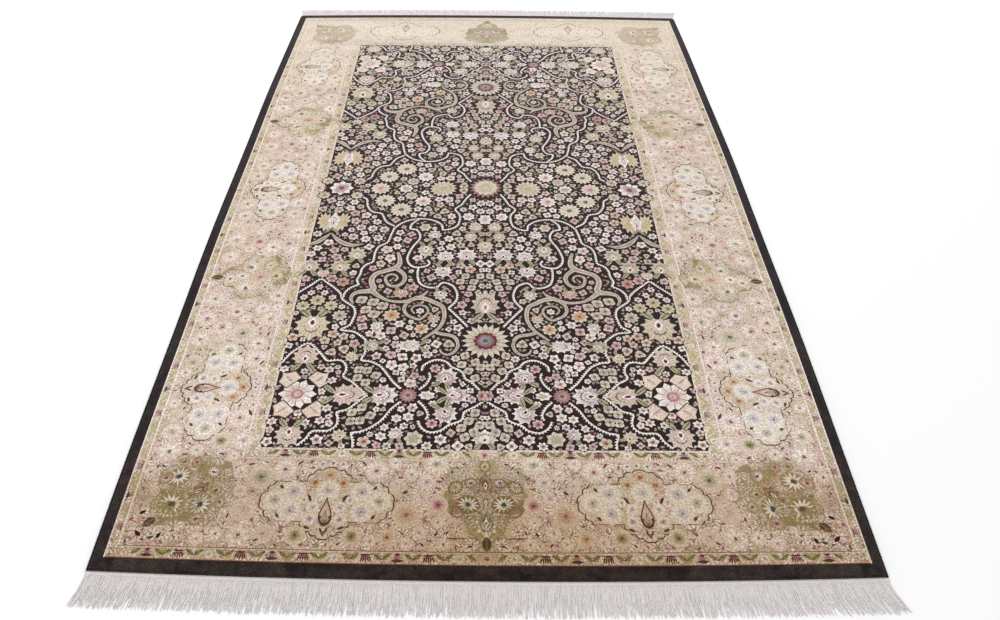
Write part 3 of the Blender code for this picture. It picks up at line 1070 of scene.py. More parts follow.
def out_of_true(x, y):
    """Millimetres of the chart to metres on the rug. Knots are beaten down unevenly, so the field drifts."""
    from_side, from_end = HALF_X - np.abs(x), HALF_Y - np.abs(y)
    hold = np.clip(from_side / HOLD_X, 0, 1) * np.clip(from_end / HOLD_Y, 0, 1)
    middle = MIDDLE_DRIFT * np.exp(-((y / MIDDLE_REACH) ** 2))
    middle = middle + CENTRE_DRIFT * np.exp(-(x * x + y * y) / CENTRE_REACH ** 2)
    outer = np.clip(from_side / BORDER_HOLD, 0, 1) * np.clip(from_end / BORDER_HOLD, 0, 1) * (1 - hold)
    return on_loom((x + DRIFT_X * hold + BORDER_DRIFT_X * outer) * MM, (y + (DRIFT_Y + middle) * hold) * MM)


def four_quarters():
    """Points, triangles, patch numbers and the mirroring of each triangle, for the whole top."""
    points, faces, patches, signs = [], [], [], []
    for sx, sy in ((1, 1), (-1, 1), (-1, -1), (1, -1)):
        turned = quarter_faces if sx * sy > 0 else quarter_faces[:, ::-1]
        faces.append(turned + len(quarter_points) * len(faces))
        points.append(quarter_points * (sx, sy))
        patches.append(quarter_patches)
        signs.append(np.tile((sx, sy), (len(quarter_faces), 1)))
    points, faces = np.concatenate(points), np.concatenate(faces)
    _, first, same = np.unique(np.round(points, WELD_DIGITS), axis=0, return_index=True,
                               return_inverse=True)
    faces = same.ravel()[faces]
    whole = (faces != np.roll(faces, 1, axis=1)).all(axis=1)  # the weld closes a few slivers
    return points[first], faces[whole], np.concatenate(patches)[whole], np.concatenate(signs)[whole]


def close_body(points, faces):
    """Add the rounded rim and the back. Gives all points, their heights in millimetres, and triangles."""
    edges = np.sort(np.concatenate([faces[:, [0, 1]], faces[:, [1, 2]], faces[:, [2, 0]]]), axis=1)
    edges, uses = np.unique(edges, axis=0, return_counts=True)
    rim = np.unique(edges[uses == 1])
    rim = rim[np.argsort(np.arctan2(points[rim, 1] / top_y, points[rim, 0] / top_x))]
    on_rim = np.abs(points[rim]) > np.array([top_x, top_y]) - ON_RIM
    way = np.where(on_rim, np.sign(points[rim]), 0)
    layers, heights, triangles = [points], [np.full(len(points), THICKNESS / MM)], [faces]
    ring, count = rim, len(points)
    for outwards, height in RIM:
        new = np.arange(len(rim)) + count
        count += len(rim)
        layers.append(points[rim] + way * outwards)
        heights.append(np.full(len(rim), height))
        a, b, c, d = ring, np.roll(ring, -1), np.roll(new, -1), new
        triangles += [np.stack([a, d, c], 1), np.stack([a, c, b], 1)]
        ring = new
    layers.append(np.zeros((1, 2)))  # the back is a fan round its middle
    heights.append(np.zeros(1))
    triangles.append(np.stack([np.roll(ring, -1), ring, np.full(len(ring), count)], 1))
    return np.concatenate(layers), np.concatenate(heights), np.concatenate(triangles)


top_points, top_faces, patches, signs = four_quarters()
flat, heights, triangles = close_body(top_points, top_faces)
rug_x, rug_y = out_of_true(flat[:, 0], flat[:, 1])
vertices = np.stack([rug_x, rug_y, heights * MM], 1)
bare = len(triangles) - len(top_faces)
patches = np.concatenate([patches, np.zeros(bare, int)])
signs = np.concatenate([signs, np.ones((bare, 2), int)])
print("pile:", len(vertices), "points,", len(triangles), "triangles")

# %% [markdown]
# The mesh carries the chart with it: each triangle knows its patch's dyes and form, and each corner its place
# in the motif.

# %% The pile's mesh
RAGGED = 2.6  # millimetres by which the knots roughen an edge
MOST_RAGGED = 0.9  # of the motif's radius
UV_MARGIN = 5.0


def mesh_piece(name, vertices, polygons=(), edges=()):
    """A new object in the scene, from plain lists."""
    mesh = bpy.data.meshes.new(name)
    mesh.from_pydata(vertices, list(edges), polygons)
    obj = bpy.data.objects.new(name, mesh)
    bpy.context.scene.collection.objects.link(obj)
    return obj


def write(mesh, name, kind, domain, values, slot="vector"):
    attribute = mesh.attributes.new(name, kind, domain)
    attribute.data.foreach_set(slot, np.ascontiguousarray(values, dtype=np.float32).ravel())


pile = mesh_piece("pile_surface", vertices.tolist(), triangles.tolist())
dyes = np.array([[linear(dye) for dye in style["colours"]] for style in chart.looks])
for i, name in enumerate(("ground", "petal", "tip", "heart")):
    write(pile.data, name, "FLOAT_COLOR", "FACE", dyes[patches, i], "color")
for name in ("form", "stroke", "grain"):
    rows = np.array([style[name] for style in chart.looks])
    write(pile.data, name, "FLOAT_VECTOR", "FACE", rows[patches])
rows = np.array(chart.places)[patches]
corners = flat[triangles] * signs[:, None, :]
place = np.einsum("fij,fcj->fci", rows[:, :, :2], corners) + rows[:, None, :, 2]
ragged = np.minimum(RAGGED * np.hypot(rows[:, 1, 0], rows[:, 1, 1]) * 2, MOST_RAGGED)
ragged = np.broadcast_to(ragged[:, None, None], place[..., :1].shape)
write(pile.data, "place", "FLOAT_VECTOR", "CORNER", np.concatenate([place, ragged], 2))
flat_uv = pile.data.uv_layers.new(name="OFBake")
spread = (flat[triangles] + (HALF_X + UV_MARGIN, HALF_Y + UV_MARGIN)) / (2 * (HALF_Y + UV_MARGIN))
flat_uv.data.foreach_set("uv", spread.astype(np.float32).ravel())
print("attributes:", [a.name for a in pile.data.attributes])

# %% [markdown]
# ## Materials
#
# A small wrapper lets node sockets be added and multiplied like numbers, so that the petals can be written as
# the formula that they are.

# %% Sockets as numbers
class Value:
    """A socket that takes part in sums."""

    def __init__(self, nodes, socket):
        self.nodes, self.socket = nodes, socket

    def above(self, other):
        return self.nodes.math("GREATER_THAN", self, other)

    def below(self, other):
        return self.nodes.math("LESS_THAN", self, other)

    def abs(self):
        return self.nodes.math("ABSOLUTE", self)


for sign, operation in (("add", "ADD"), ("sub", "SUBTRACT"), ("mul", "MULTIPLY"), ("truediv", "DIVIDE")):
    setattr(Value, f"__{sign}__", lambda a, b, how=operation: a.nodes.math(how, a, b))
    setattr(Value, f"__r{sign}__", lambda a, b, how=operation: a.nodes.math(how, b, a))


class Nodes:
    """A node tree whose sockets are wrapped as Value."""

    def __init__(self, tree):
        self.tree = tree

    def put(self, socket, value):
        if isinstance(value, Value):
            self.tree.links.new(value.socket, socket)
        else:
            socket.default_value = value

    def add(self, kind, inputs=None, output=0, **settings):
        """One node of a kind, with its settings and inputs, and one of its outputs as a Value."""
        node = self.tree.nodes.new(kind)
        for key, value in settings.items():
            setattr(node, key, value)
        for key, value in (inputs or {}).items():
            self.put(node.inputs[key], value)
        return Value(self, node.outputs[output])

    def math(self, operation, *values):
        return self.add("ShaderNodeMath", dict(enumerate(values)), operation=operation)


print("sockets can be added, subtracted, multiplied and divided")

# %% [markdown]
# A material's tree has a shader, and a few nodes that the drawing uses again and again.

# %% A material's tree
class MaterialTree(Nodes):
    """A new material, with its tree and its shader."""

    def __init__(self, name):
        self.material = bpy.data.materials.new(name)
        self.material.use_nodes = True
        super().__init__(self.material.node_tree)
        self.shader = self.tree.nodes["Principled BSDF"]

    def set(self, **values):
        """Plain values of the shader, by the names of its inputs with _ for a space."""
        for key, value in values.items():
            self.shader.inputs[key.replace("_", " ")].default_value = value

    def attribute(self, name, output="Vector"):
        return self.add("ShaderNodeAttribute", output=output, attribute_name=name)

    def blend(self, factor, first, second, how="MIX"):
        inputs = {"Factor": factor, 6: first, 7: second}
        return self.add("ShaderNodeMix", inputs, output=2, data_type="RGBA", blend_type=how)

    def vector(self, operation, *values, **more):
        return self.add("ShaderNodeVectorMath", {**dict(enumerate(values)), **more}, operation=operation)

    def ramp(self, value, low, high, to_low=0.0, to_high=1.0):
        inputs = {0: value, 1: low, 2: high, 3: to_low, 4: to_high}
        return self.add("ShaderNodeMapRange", inputs, clamp=True)

    def noise(self, where, scale, detail=2.0, roughness=0.5, output="Fac"):
        inputs = {"Vector": where, "Scale": scale, "Detail": detail, "Roughness": roughness}
        return self.add("ShaderNodeTexNoise", inputs, output=output)

    def split(self, vector):
        node = self.add("ShaderNodeSeparateXYZ", {0: vector}).socket.node
        return [Value(self, output) for output in node.outputs]


print("a material's tree can blend, ramp, split and make noise")

# %% [markdown]
# ## The pile's material
#
# Knots are about two millimetres wide, so edges in the pattern are never sharp: a little noise on the radius
# roughens them. Wool takes the dye unevenly from batch to batch, which shows as faint bands across the rug.

# %% Motifs in the pile
TOOTH_SLANT = 2.4  # radians by which a vine's teeth lean from its middle to its edge


def drawn_motifs(m, quarter, knots):
    """Petals, tips, veins, hearts and outlines of the patches, with the ground round them."""
    u, v, ragged = m.split(m.attribute("place"))
    petals, depth, eye = m.split(m.attribute("form"))
    pointed, line, kind = m.split(m.attribute("stroke"))
    vein, mottle, _ = m.split(m.attribute("grain"))
    ground, petal, tip, heart = (m.attribute(name, "Color") for name in ("ground", "petal", "tip", "heart"))
    distance = m.math("SQRT", u * u + v * v)
    rho = distance + (v.abs() - distance) * kind + (knots - 0.5) * ragged
    angle = m.math("ARCTAN2", v, u)
    slanted = u * (2 * math.pi) - v.abs() * TOOTH_SLANT
    half_turn = (angle + (slanted - angle) * kind) * petals * 0.5
    spread = m.math("COSINE", half_turn).abs()
    dip = 1 - spread + (m.math("SINE", half_turn).abs() - 1 + spread) * pointed
    right_edge = v.below(0.0) * kind
    edge = 1 - depth * (dip + (0.5 - dip) * right_edge)
    fine = m.split(m.noise(quarter, 45, 2.0, 0.6, "Color"))[0]
    colour = m.blend(m.ramp(rho / edge + (fine - 0.5) * mottle * 2.0, 0.4, 0.8), petal, tip)
    seam = m.ramp(spread, 0.05, 0.38, 1.0, 0.0) * m.ramp(rho, 0.2, 0.5) * vein
    colour = m.blend(seam * 0.8, colour, m.blend(0.4, heart, ground))
    colour = m.blend(rho.below(eye) * m.ramp(spread, 0.2, 0.4), colour, heart)
    colour = m.blend(rho.above(edge - line), colour, heart)
    return m.blend(rho.above(edge), colour, ground)


print("a vine's teeth lean by", TOOTH_SLANT, "radians")

# %% [markdown]
# Ground marked as strewn gets fine sprays, of three sizes, over washes of other dyes.

# %% Sprays on the ground
SPRAYS = (
    # cell in metres, rays, dark dye, light dye
    (0.054, 13, "clay", "ivory"),
    (0.031, 8, "olive", "ivory"),
    (0.019, 5, "rose", "cream"),
)
BARE_CELLS = 0.3  # the share of the cells without a flower
WASHES = (("fawn", 9.0, 0.3), ("pink", 10.0, 0.75), ("citron", 8.0, 0.6))  # dye, scale, strength


def sprays(m, quarter, colour, strewn, knots):
    """Fine flowers of a few rays, one in most cells of a scatter, over soft washes of other dyes."""
    for dye, scale, strength in WASHES:
        share = m.ramp(m.noise(quarter, scale, 3.0, 0.65), 0.48, 0.62) * strewn * strength
        colour = m.blend(share, colour, linear(dye))
    for cell, rays, dark, light in SPRAYS:
        inputs = {"Vector": quarter, "Scale": 1 / cell}
        scatter = m.add("ShaderNodeTexVoronoi", inputs, voronoi_dimensions="2D").socket.node.outputs
        x, y, _ = m.split(m.vector("SUBTRACT", quarter, Value(m, scatter["Position"])))
        chance, other, _ = m.split(Value(m, scatter["Color"]))
        grows = chance.above(BARE_CELLS) * strewn
        reach = Value(m, scatter["Distance"]) + (knots - 0.5) * 0.35
        spread = m.math("COSINE", m.math("ARCTAN2", y, x) * (rays / 2) + other * 6.0).abs()
        inside = m.ramp(reach, 0.38, 0.46, 1.0, 0.0) * m.ramp(reach, 0.05, 0.1) * grows
        colour = m.blend(m.ramp(spread, 0.6, 0.8) * inside * 0.7, colour, linear(light))
        colour = m.blend(m.ramp(spread, 0.2, 0.45, 1.0, 0.0) * inside * 0.8, colour, linear(dark))
        heart = m.ramp(reach, 0.05, 0.1, 1.0, 0.0) * grows
        colour = m.blend(heart * 0.8, colour, linear("russet"))
    curl = m.noise(quarter, 38, 1.0)
    stem = m.ramp((curl - 0.5).abs(), 0.006, 0.014, 1.0, 0.0) * strewn
    return m.blend(stem * 0.7, colour, linear("rose"))


print(len(SPRAYS), "sizes of sprays,", len(WASHES), "washes")

# %% [markdown]
# The batches, the painted sheen and shade of the two ends and the knots' own shade come last, over the whole
# pile.

# %% The pile's material
KNOT = 0.0021
KNOT_BLUR = 2.2  # the noise's features, in knots
KNOT_DEPTH = 0.0012
SPECKLE = 0.0042
SHADED_NEAR_END = -0.98  # painted shade: the pile's nap darkens the near end under this light
NEAR_PAINTED_SHADE = (0.79, 0.73, 0.65, 1.0)
WARM_TINT = (0.87, 0.81, 0.72, 1.0)  # an orange-tan tint round the near end's middle
WARM_MIDDLE = 0.06
WARM_ACROSS, WARM_ALONG = (0.12, 0.42), (-1.14, -1.04)  # metres over which it fades out
# pale grounds lighten towards the far end over these metres: painted sheen, the pile seen at a grazing angle
FAR_SHEEN_ALONG = (0.6, 1.1)
BATCHES = (0.6, 9.0, 1.0)  # uneven dyeing shows as bands across the rug, so its noise is finer along it
WOOL = {"Roughness": 0.9, "Specular_IOR_Level": 0.15, "Sheen_Weight": 0.1, "Sheen_Roughness": 0.5}


def batches_and_painted_light(m, where, colour, knots):
    """Painted sheen pales the far end's light grounds, painted shade darkens the near end, and the knots
    shade one another.
    """
    across, along, _ = m.split(where)
    light_ground = m.ramp(m.split(m.attribute("ground", "Color"))[0], 0.1, 0.6)
    # painted sheen: pale grounds lighten towards shell at the far end
    painted_far_sheen = m.ramp(along, *FAR_SHEEN_ALONG, 0.0, 0.72) * light_ground
    colour = m.blend(painted_far_sheen, colour, linear("shell"))
    batch = m.noise(m.vector("MULTIPLY", where, BATCHES), 2.2, 3.0)
    shade = m.ramp(batch, 0.3, 0.7, 0.93, 1.06) * m.ramp(knots, 0.3, 0.7, 0.68, 1.24)
    shade = shade * m.ramp(m.noise(where, 1 / SPECKLE, 1.0), 0.3, 0.7, 0.78, 1.17)
    colour = m.vector("SCALE", colour, Scale=shade)
    # painted shade: the near end is darkened
    near = m.ramp(along, SHADED_NEAR_END - 0.05, SHADED_NEAR_END + 0.05, 1.0, 0.0)
    colour = m.blend(near, colour, NEAR_PAINTED_SHADE, "MULTIPLY")
    warm = m.ramp((across - WARM_MIDDLE).abs(), *WARM_ACROSS, 1.0, 0.0) * m.ramp(along, *WARM_ALONG, 1.0, 0.0)
    return m.blend(warm, colour, WARM_TINT, "MULTIPLY")


def pile_material():
    m = MaterialTree("pile_wool")
    where = m.add("ShaderNodeTexCoord", output="Object")
    quarter = m.vector("ABSOLUTE", where)
    knots = m.noise(where, 1 / KNOT / KNOT_BLUR, 2.0, 0.7)
    along = m.split(where)[1]
    strewn = m.split(m.attribute("grain"))[2]
    strewn = strewn * m.ramp(along, -1.05, -0.9, 1.6, 1.0) * m.ramp(along, 0.0, 1.0, 1.0, 0.75)
    colour = sprays(m, quarter, drawn_motifs(m, quarter, knots), strewn, knots)
    m.put(m.shader.inputs["Base Color"], batches_and_painted_light(m, where, colour, knots))
    m.put(m.shader.inputs["Normal"],
          m.add("ShaderNodeBump", {"Height": knots, "Strength": 0.5, "Distance": KNOT_DEPTH}))
    m.set(**WOOL)
    return m.material


pile.data.materials.append(pile_material())
print("pile material:", len(pile.data.materials[0].node_tree.nodes), "nodes")

# %% [markdown]
# ## Yarns
#
# Overcasting is dark wool, wrapped closely. The fringe is undyed cotton.

# %% Yarn materials
def yarn_material(name, colour, darkest, scale, roughness):
    """One dye, shaded unevenly down to its darkest share."""
    m = MaterialTree(name)
    where = m.add("ShaderNodeTexCoord", output="Object")
    shade = m.ramp(m.noise(where, scale, 3.0, 0.6), 0.3, 0.7, darkest, 1.0)
    tone = m.add("ShaderNodeRGB")
    tone.socket.default_value = colour
    m.put(m.shader.inputs["Base Color"], m.vector("SCALE", tone, Scale=shade))
    m.set(Roughness=roughness, Specular_IOR_Level=0.2, Sheen_Weight=0.1)
    return m.material


cotton = yarn_material("warp_cotton", linear("cotton"), 0.78, 300, 0.9)
overcast = yarn_material("overcasting_wool", linear("overcast"), 0.6, 500, 0.85)
print("yarn materials ready")

# %% [markdown]
# ## Geometry Nodes
#
# The same wrapper serves here. A tree is made once, with named inputs, and put on each piece as a modifier.
# Afterwards the result is kept as a plain mesh.

# %% Geometry Nodes helpers
class GeometryTree(Nodes):
    """A tree with named inputs, the geometry and a material among them."""

    def __init__(self, name, **inputs):
        super().__init__(bpy.data.node_groups.new(name, "GeometryNodeTree"))
        kinds = {"Geometry": "NodeSocketGeometry", "Material": "NodeSocketMaterial", **inputs}
        for key, kind in kinds.items():
            self.tree.interface.new_socket(key, in_out="INPUT", socket_type=kind)
        self.tree.interface.new_socket("Geometry", in_out="OUTPUT", socket_type="NodeSocketGeometry")
        source = self.tree.nodes.new("NodeGroupInput")
        self.given = {key: Value(self, source.outputs[key]) for key in kinds}

    def read(self, name, kind="FLOAT"):
        return self.add("GeometryNodeInputNamedAttribute", {"Name": name}, data_type=kind)

    def vector(self, x=0.0, y=0.0, z=0.0):
        return self.add("ShaderNodeCombineXYZ", {"X": x, "Y": y, "Z": z})

    def finish(self, geometry):
        real = self.add("GeometryNodeRealizeInstances", {"Geometry": geometry})
        real = self.add("GeometryNodeSetMaterial", {"Geometry": real, "Material": self.given["Material"]})
        self.put(self.tree.nodes.new("NodeGroupOutput").inputs["Geometry"], real)
        return self.tree


def grow(obj, tree, values):
    """Run the tree on obj and keep what it makes as a plain mesh."""
    modifier = obj.modifiers.new(tree.name, "NODES")
    modifier.node_group = tree
    for item in tree.interface.items_tree:
        if item.item_type == "SOCKET" and item.in_out == "INPUT" and item.name in values:
            modifier[item.identifier] = values[item.name]
    ready = obj.evaluated_get(bpy.context.evaluated_depsgraph_get())
    mesh = bpy.data.meshes.new_from_object(ready)
    obj.modifiers.remove(modifier)
    obj.data = mesh
    return obj


def smooth(obj):
    for polygon in obj.data.polygons:
        polygon.use_smooth = True


print("helpers ready")

# %% [markdown]
# ## Fringes
#
# The warps run out of the woven rug at both ends. Each is a fine plied cotton yarn, which waves a little,
# lies over its neighbours and is cut roughly to length. Near the corners they fan out.

# %% A yarn's tree
YARN_POINTS, YARN_SIDES = 7, 4
LEAN_AT_ROOT = 0.4  # a yarn leaves the strip with this share of its lean, and curves on
WAVE, WAVES, WAVE_SHIFT = 0.008, 3.0, 700.0  # a tip's way aside, its noise along a yarn and from yarn to yarn
TIP_DROP, TIP_THINNING = 0.4, 0.45  # the shares of its root's height and width that a tip has lost


def fringe_tree():
    """A tree that grows a yarn from each point, as its attributes say."""
    g = GeometryTree("fringe_yarns", Way="NodeSocketFloat", Seed="NodeSocketInt", Width="NodeSocketFloat")
    line = g.add("GeometryNodeCurvePrimitiveLine", {"Start": (0, 0, 0), "End": (0, 1, 0)})
    line = g.add("GeometryNodeResampleCurve", {"Curve": line, "Count": YARN_POINTS})
    share = g.add("GeometryNodeSplineParameter", output="Factor")
    line = g.add("GeometryNodeStoreNamedAttribute", {"Geometry": line, "Name": "share", "Value": share},
                 data_type="FLOAT", domain="POINT")
    yarn = g.add("GeometryNodeInstanceOnPoints", {"Points": g.given["Geometry"], "Instance": line})
    yarn = g.add("GeometryNodeRealizeInstances", {"Geometry": yarn})
    share, lean, reach, height = (g.read(name) for name in ("share", "lean", "reach", "height"))
    aside = lean * reach * (share * g.math("MULTIPLY_ADD", share, 1 - LEAN_AT_ROOT, LEAN_AT_ROOT))
    place = g.vector(g.read("root") * WAVE_SHIFT, share * WAVES)
    wave = g.add("ShaderNodeTexNoise", {"W": g.given["Seed"], "Vector": place, "Scale": 1.0, "Detail": 1.0},
                 noise_dimensions="4D")
    wave = (wave - 0.5) * (share * WAVE)
    ahead = share * reach * g.given["Way"] + share * -1.0  # the line itself is a metre long
    lift = height * (1.0 - share * TIP_DROP)
    yarn = g.add("GeometryNodeSetPosition", {"Geometry": yarn, "Offset": g.vector(aside + wave, ahead, lift)})
    profile = g.add("GeometryNodeCurvePrimitiveCircle", {"Resolution": YARN_SIDES, "Radius": 0.5})
    width = g.given["Width"] * (1.0 - g.math("POWER", share, 3.0) * TIP_THINNING)
    return g.finish(g.add("GeometryNodeCurveToMesh", {"Curve": yarn, "Profile Curve": profile,
                                                      "Scale": width, "Fill Caps": True}))


yarn_tree = fringe_tree()
print("yarn tree:", len(yarn_tree.nodes), "nodes")

# %% [markdown]
# The yarns' roots are bare points in the strip. Each carries its own lean, length and height for the tree to
# read.

# %% Roots and strips
YARNS_PER_END = 1050
YARN_LEVELS = (0.0010, 0.0022)  # the yarns' heights at the root
ROOT_DEPTH = 0.8  # of the strip's depth, where a yarn starts
YARN_MARGIN = 1.5  # millimetres of the rug's width without a yarn, at each corner
FAN_POWER = 3  # the yarns fan out only near the rug's corners
LEAN_SPREAD = 0.025
LENGTH_SPREAD, SHORT_CUT = 0.004, 0.014  # most yarns differ little, and a few are cut short
KILIM_POINTS = 161
KILIM_PROFILE = ((0.0, 0.0), (0.0, 2.3), (0.35, 2.7), (0.7, 2.3), (1.0, 0.6), (1.0, 0.0))  # depth, height


def fringe_roots(name, way, left_lean, right_lean, seed):
    """A bare point for each yarn, with its lean, its length and its height above the floor."""
    draw = random.Random(seed)
    xs, rows = [], []
    for i in range(YARNS_PER_END):
        x = -HALF_X + YARN_MARGIN + 2 * (HALF_X - YARN_MARGIN) * (i + draw.uniform(0.2, 0.8)) / YARNS_PER_END
        across = x / HALF_X
        fan = math.tan(math.radians(left_lean if across < 0 else right_lean)) * abs(across) ** FAN_POWER
        lean = math.copysign(fan, across) + draw.gauss(0, LEAN_SPREAD)
        reach = FRINGE_LENGTH + draw.uniform(-LENGTH_SPREAD, LENGTH_SPREAD) - draw.random() ** 8 * SHORT_CUT
        rows.append((lean, reach, draw.uniform(*YARN_LEVELS)))
        xs.append(x)
    xs = np.array(xs) * MM
    _, end = on_loom(xs, np.full(len(xs), RUG_LENGTH / 2))
    roots = np.stack([xs, way * (end + SEAM + KILIM_DEPTH * ROOT_DEPTH), np.zeros(len(xs))], 1)
    obj = mesh_piece(name + "_yarns", roots.tolist())
    for key, values in zip(("lean", "reach", "height"), np.array(rows).T):
        write(obj.data, key, "FLOAT", "POINT", values, "value")
    write(obj.data, "root", "FLOAT", "POINT", roots[:, 0], "value")
    return obj


def kilim_end(name, way):
    """The flat-woven strip that the yarns come out of."""
    across = np.linspace(-HALF_X * MM, HALF_X * MM, KILIM_POINTS)
    _, end = on_loom(across, np.full(KILIM_POINTS, RUG_LENGTH / 2))
    rows = []
    for depth, height in KILIM_PROFILE:
        y = way * (end + SEAM + KILIM_DEPTH * depth)
        rows.append(np.stack([across, y, np.full(KILIM_POINTS, height * MM)], 1))
    turns = len(KILIM_PROFILE)
    quads = []
    for r in range(turns):
        for i in range(KILIM_POINTS - 1):
            a, b = r * KILIM_POINTS + i, (r + 1) % turns * KILIM_POINTS + i
            quads.append([a, a + 1, b + 1, b] if way > 0 else [a, b, b + 1, a + 1])
    left = [r * KILIM_POINTS for r in range(turns)]
    caps = [left, [i + KILIM_POINTS - 1 for i in left][::-1]]
    quads += caps if way > 0 else [cap[::-1] for cap in caps]
    strip = mesh_piece(name, np.concatenate(rows).tolist(), quads)
    strip.data.materials.append(cotton)
    return strip


print(YARNS_PER_END, "yarns for each end")

# %% [markdown]
# The yarns lean out more at the right corners than at the left ones, as in the photo.

# %% Fringes
YARN_WIDTH = 0.0022
FANS = {
    "fringe_front": {"way": -1, "left_lean": 9, "right_lean": 22, "seed": 11},
    "fringe_back": {"way": 1, "left_lean": 6, "right_lean": 18, "seed": 12},
}
fringes = {}
for name, fan in FANS.items():
    yarns = grow(fringe_roots(name, **fan), yarn_tree,
                 {"Way": fan["way"], "Seed": fan["seed"], "Width": YARN_WIDTH, "Material": cotton})
    smooth(yarns)
    kilim = kilim_end(name + "_kilim", fan["way"])
    fringes[name] = (yarns, kilim)
    print(name, len(yarns.data.polygons), "faces")

# %% [markdown]
# ## Selvedges
#
# The long sides are overcast: dark wool is wrapped round the edge cords, turn by turn, along the whole side.

# %% Selvedges
WRAPS = 760
WRAP_RADIUS, THREAD_RADIUS, CORE_RADIUS = 0.0022, 0.0009, 0.0023
WRAP_SLANT, WRAP_TILT, WRAP_WANDER = 0.22, 0.06, 0.05  # radians
SELVEDGE_MARGIN = 0.001


def selvedge_tree():
    """A tree that wraps a thread round a cord at each of the cord's points."""
    g = GeometryTree("overcast_wraps")
    ring = g.add("GeometryNodeCurvePrimitiveCircle", {"Resolution": 9, "Radius": WRAP_RADIUS})
    thread = g.add("GeometryNodeCurvePrimitiveCircle", {"Resolution": 4, "Radius": THREAD_RADIUS})
    wrap = g.add("GeometryNodeCurveToMesh", {"Curve": ring, "Profile Curve": thread})
    wrap = g.add("GeometryNodeTransform", {"Geometry": wrap, "Rotation": (math.radians(90), 0, WRAP_SLANT)})
    wraps = g.add("GeometryNodeInstanceOnPoints", {"Points": g.given["Geometry"], "Instance": wrap,
                                                   "Rotation": g.read("turn", "FLOAT_VECTOR")})
    cord = g.add("GeometryNodeMeshToCurve", {"Mesh": g.given["Geometry"]})
    core = g.add("GeometryNodeCurvePrimitiveCircle", {"Resolution": 8, "Radius": CORE_RADIUS})
    cord = g.add("GeometryNodeCurveToMesh", {"Curve": cord, "Profile Curve": core, "Fill Caps": True})
    both = g.add("GeometryNodeJoinGeometry")
    for part in (wraps, cord):
        g.put(both.socket.node.inputs["Geometry"], part)
    return g.finish(both)


def selvedge_points(name, side):
    """The middle of the overcast cord, where the solid has it, with a point and a turn for each wrap."""
    draw = random.Random(5 + side)
    y = np.linspace(-RUG_LENGTH / 2 + SELVEDGE_MARGIN, RUG_LENGTH / 2 - SELVEDGE_MARGIN, WRAPS)
    x = on_loom(np.full(WRAPS, side * RUG_WIDTH / 2), y)[0] - side * SELVEDGE_DIAMETER / 2
    middles = np.stack([x, y, np.full(WRAPS, SELVEDGE_DIAMETER / 2)], 1)
    obj = mesh_piece(name + "_wraps", middles.tolist(), edges=zip(range(WRAPS - 1), range(1, WRAPS)))
    slope = -np.gradient(x, y)
    turns = []
    for s in slope:
        tilt, roll = draw.uniform(-WRAP_TILT, WRAP_TILT), draw.uniform(0, 6)
        turns.append((tilt, roll, s + draw.uniform(-WRAP_WANDER, WRAP_WANDER)))
    write(obj.data, "turn", "FLOAT_VECTOR", "POINT", np.array(turns))
    return obj


wrap_tree = selvedge_tree()
selvedges = {}
for name, side in (("selvedge_left", -1), ("selvedge_right", 1)):
    wraps = grow(selvedge_points(name, side), wrap_tree, {"Material": overcast})
    smooth(wraps)
    selvedges[name] = wraps
    print(name, len(wraps.data.polygons), "faces")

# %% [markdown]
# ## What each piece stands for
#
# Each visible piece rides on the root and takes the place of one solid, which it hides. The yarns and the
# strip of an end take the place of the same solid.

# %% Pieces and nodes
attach(pile, "root")
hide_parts("pile_body")
for name, wraps in selvedges.items():
    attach(wraps, "root")
    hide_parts(name)
for name, pieces in fringes.items():
    for piece in pieces:
        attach(piece, "root")
        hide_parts(name)
print("pieces:", 1 + len(selvedges) + sum(len(pieces) for pieces in fringes.values()))

# %% [markdown]
# ## Studio
#
# The rug lies on a white floor in soft even light, seen from 1.4 m above the floor at its near end.

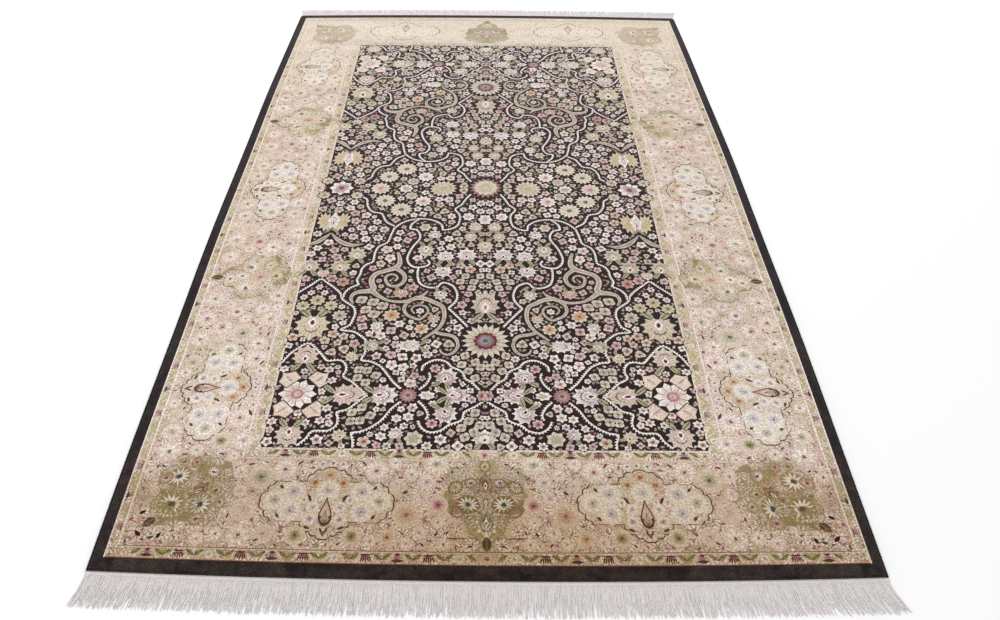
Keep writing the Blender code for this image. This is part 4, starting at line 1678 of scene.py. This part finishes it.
# %% Floor and light
WORLD_STRENGTH = 0.81
LIGHTS = (
    # name, place, aim, size, power
    ("window", (-2.5, 1.5, 4.5), (0, 0.2, 0), 3.0, 66),
    ("far_wall", (0.8, 6.0, 2.2), (0, 0.6, 0), 3.0, 90),
)


def studio_floor():
    floor = mesh_piece("floor", [(-12, -8, 0), (12, -8, 0), (12, 30, 0), (-12, 30, 0)], [(0, 1, 2, 3)])
    m = MaterialTree("white_floor")
    m.set(Base_Color=(1, 1, 1, 1), Roughness=1.0, Specular_IOR_Level=0.0)
    floor.data.materials.append(m.material)
    return floor


def soft_light(name, place, aim, size, power):
    data = bpy.data.lights.new(name, "AREA")
    data.size = size
    data.energy = power
    lamp = bpy.data.objects.new(name, data)
    lamp.location = place
    lamp.rotation_euler = (Vector(aim) - Vector(place)).to_track_quat("-Z", "Y").to_euler()
    bpy.context.scene.collection.objects.link(lamp)


floor = studio_floor()
world = bpy.data.worlds.new("studio")
bpy.context.scene.world = world
world.use_nodes = True
sky = world.node_tree.nodes["Background"].inputs
sky["Color"].default_value = (1, 1, 1, 1)
sky["Strength"].default_value = WORLD_STRENGTH
for row in LIGHTS:
    soft_light(*row)
bpy.context.scene.view_settings.view_transform = "Standard"
print(len(LIGHTS), "soft lights and a white sky")

# %% [markdown]
# The camera stands where the rug's corners show as in the photo, with a slight roll and shift.

# %% Camera
CAMERA_AT = (-0.015, -1.995, 1.429)
LENS, SHIFT = 29.09, 0.0193
PITCH, YAW, ROLL = (math.radians(angle) for angle in (43.71, -0.06, 0.43))
camera_data = bpy.data.cameras.new("camera")
camera_data.lens = LENS
camera_data.shift_x = SHIFT
camera = bpy.data.objects.new("camera", camera_data)
view = Matrix.Rotation(-YAW, 3, "Z") @ Matrix.Rotation(math.radians(90) - PITCH, 3, "X")
view = view @ Matrix.Rotation(ROLL, 3, "Z")
camera.matrix_world = Matrix.Translation(CAMERA_AT) @ view.to_4x4()
bpy.context.scene.collection.objects.link(camera)
bpy.context.scene.camera = camera
print(f"camera {CAMERA_AT[2]:.2f} m above the floor, looking down by {math.degrees(PITCH):.0f} degrees")
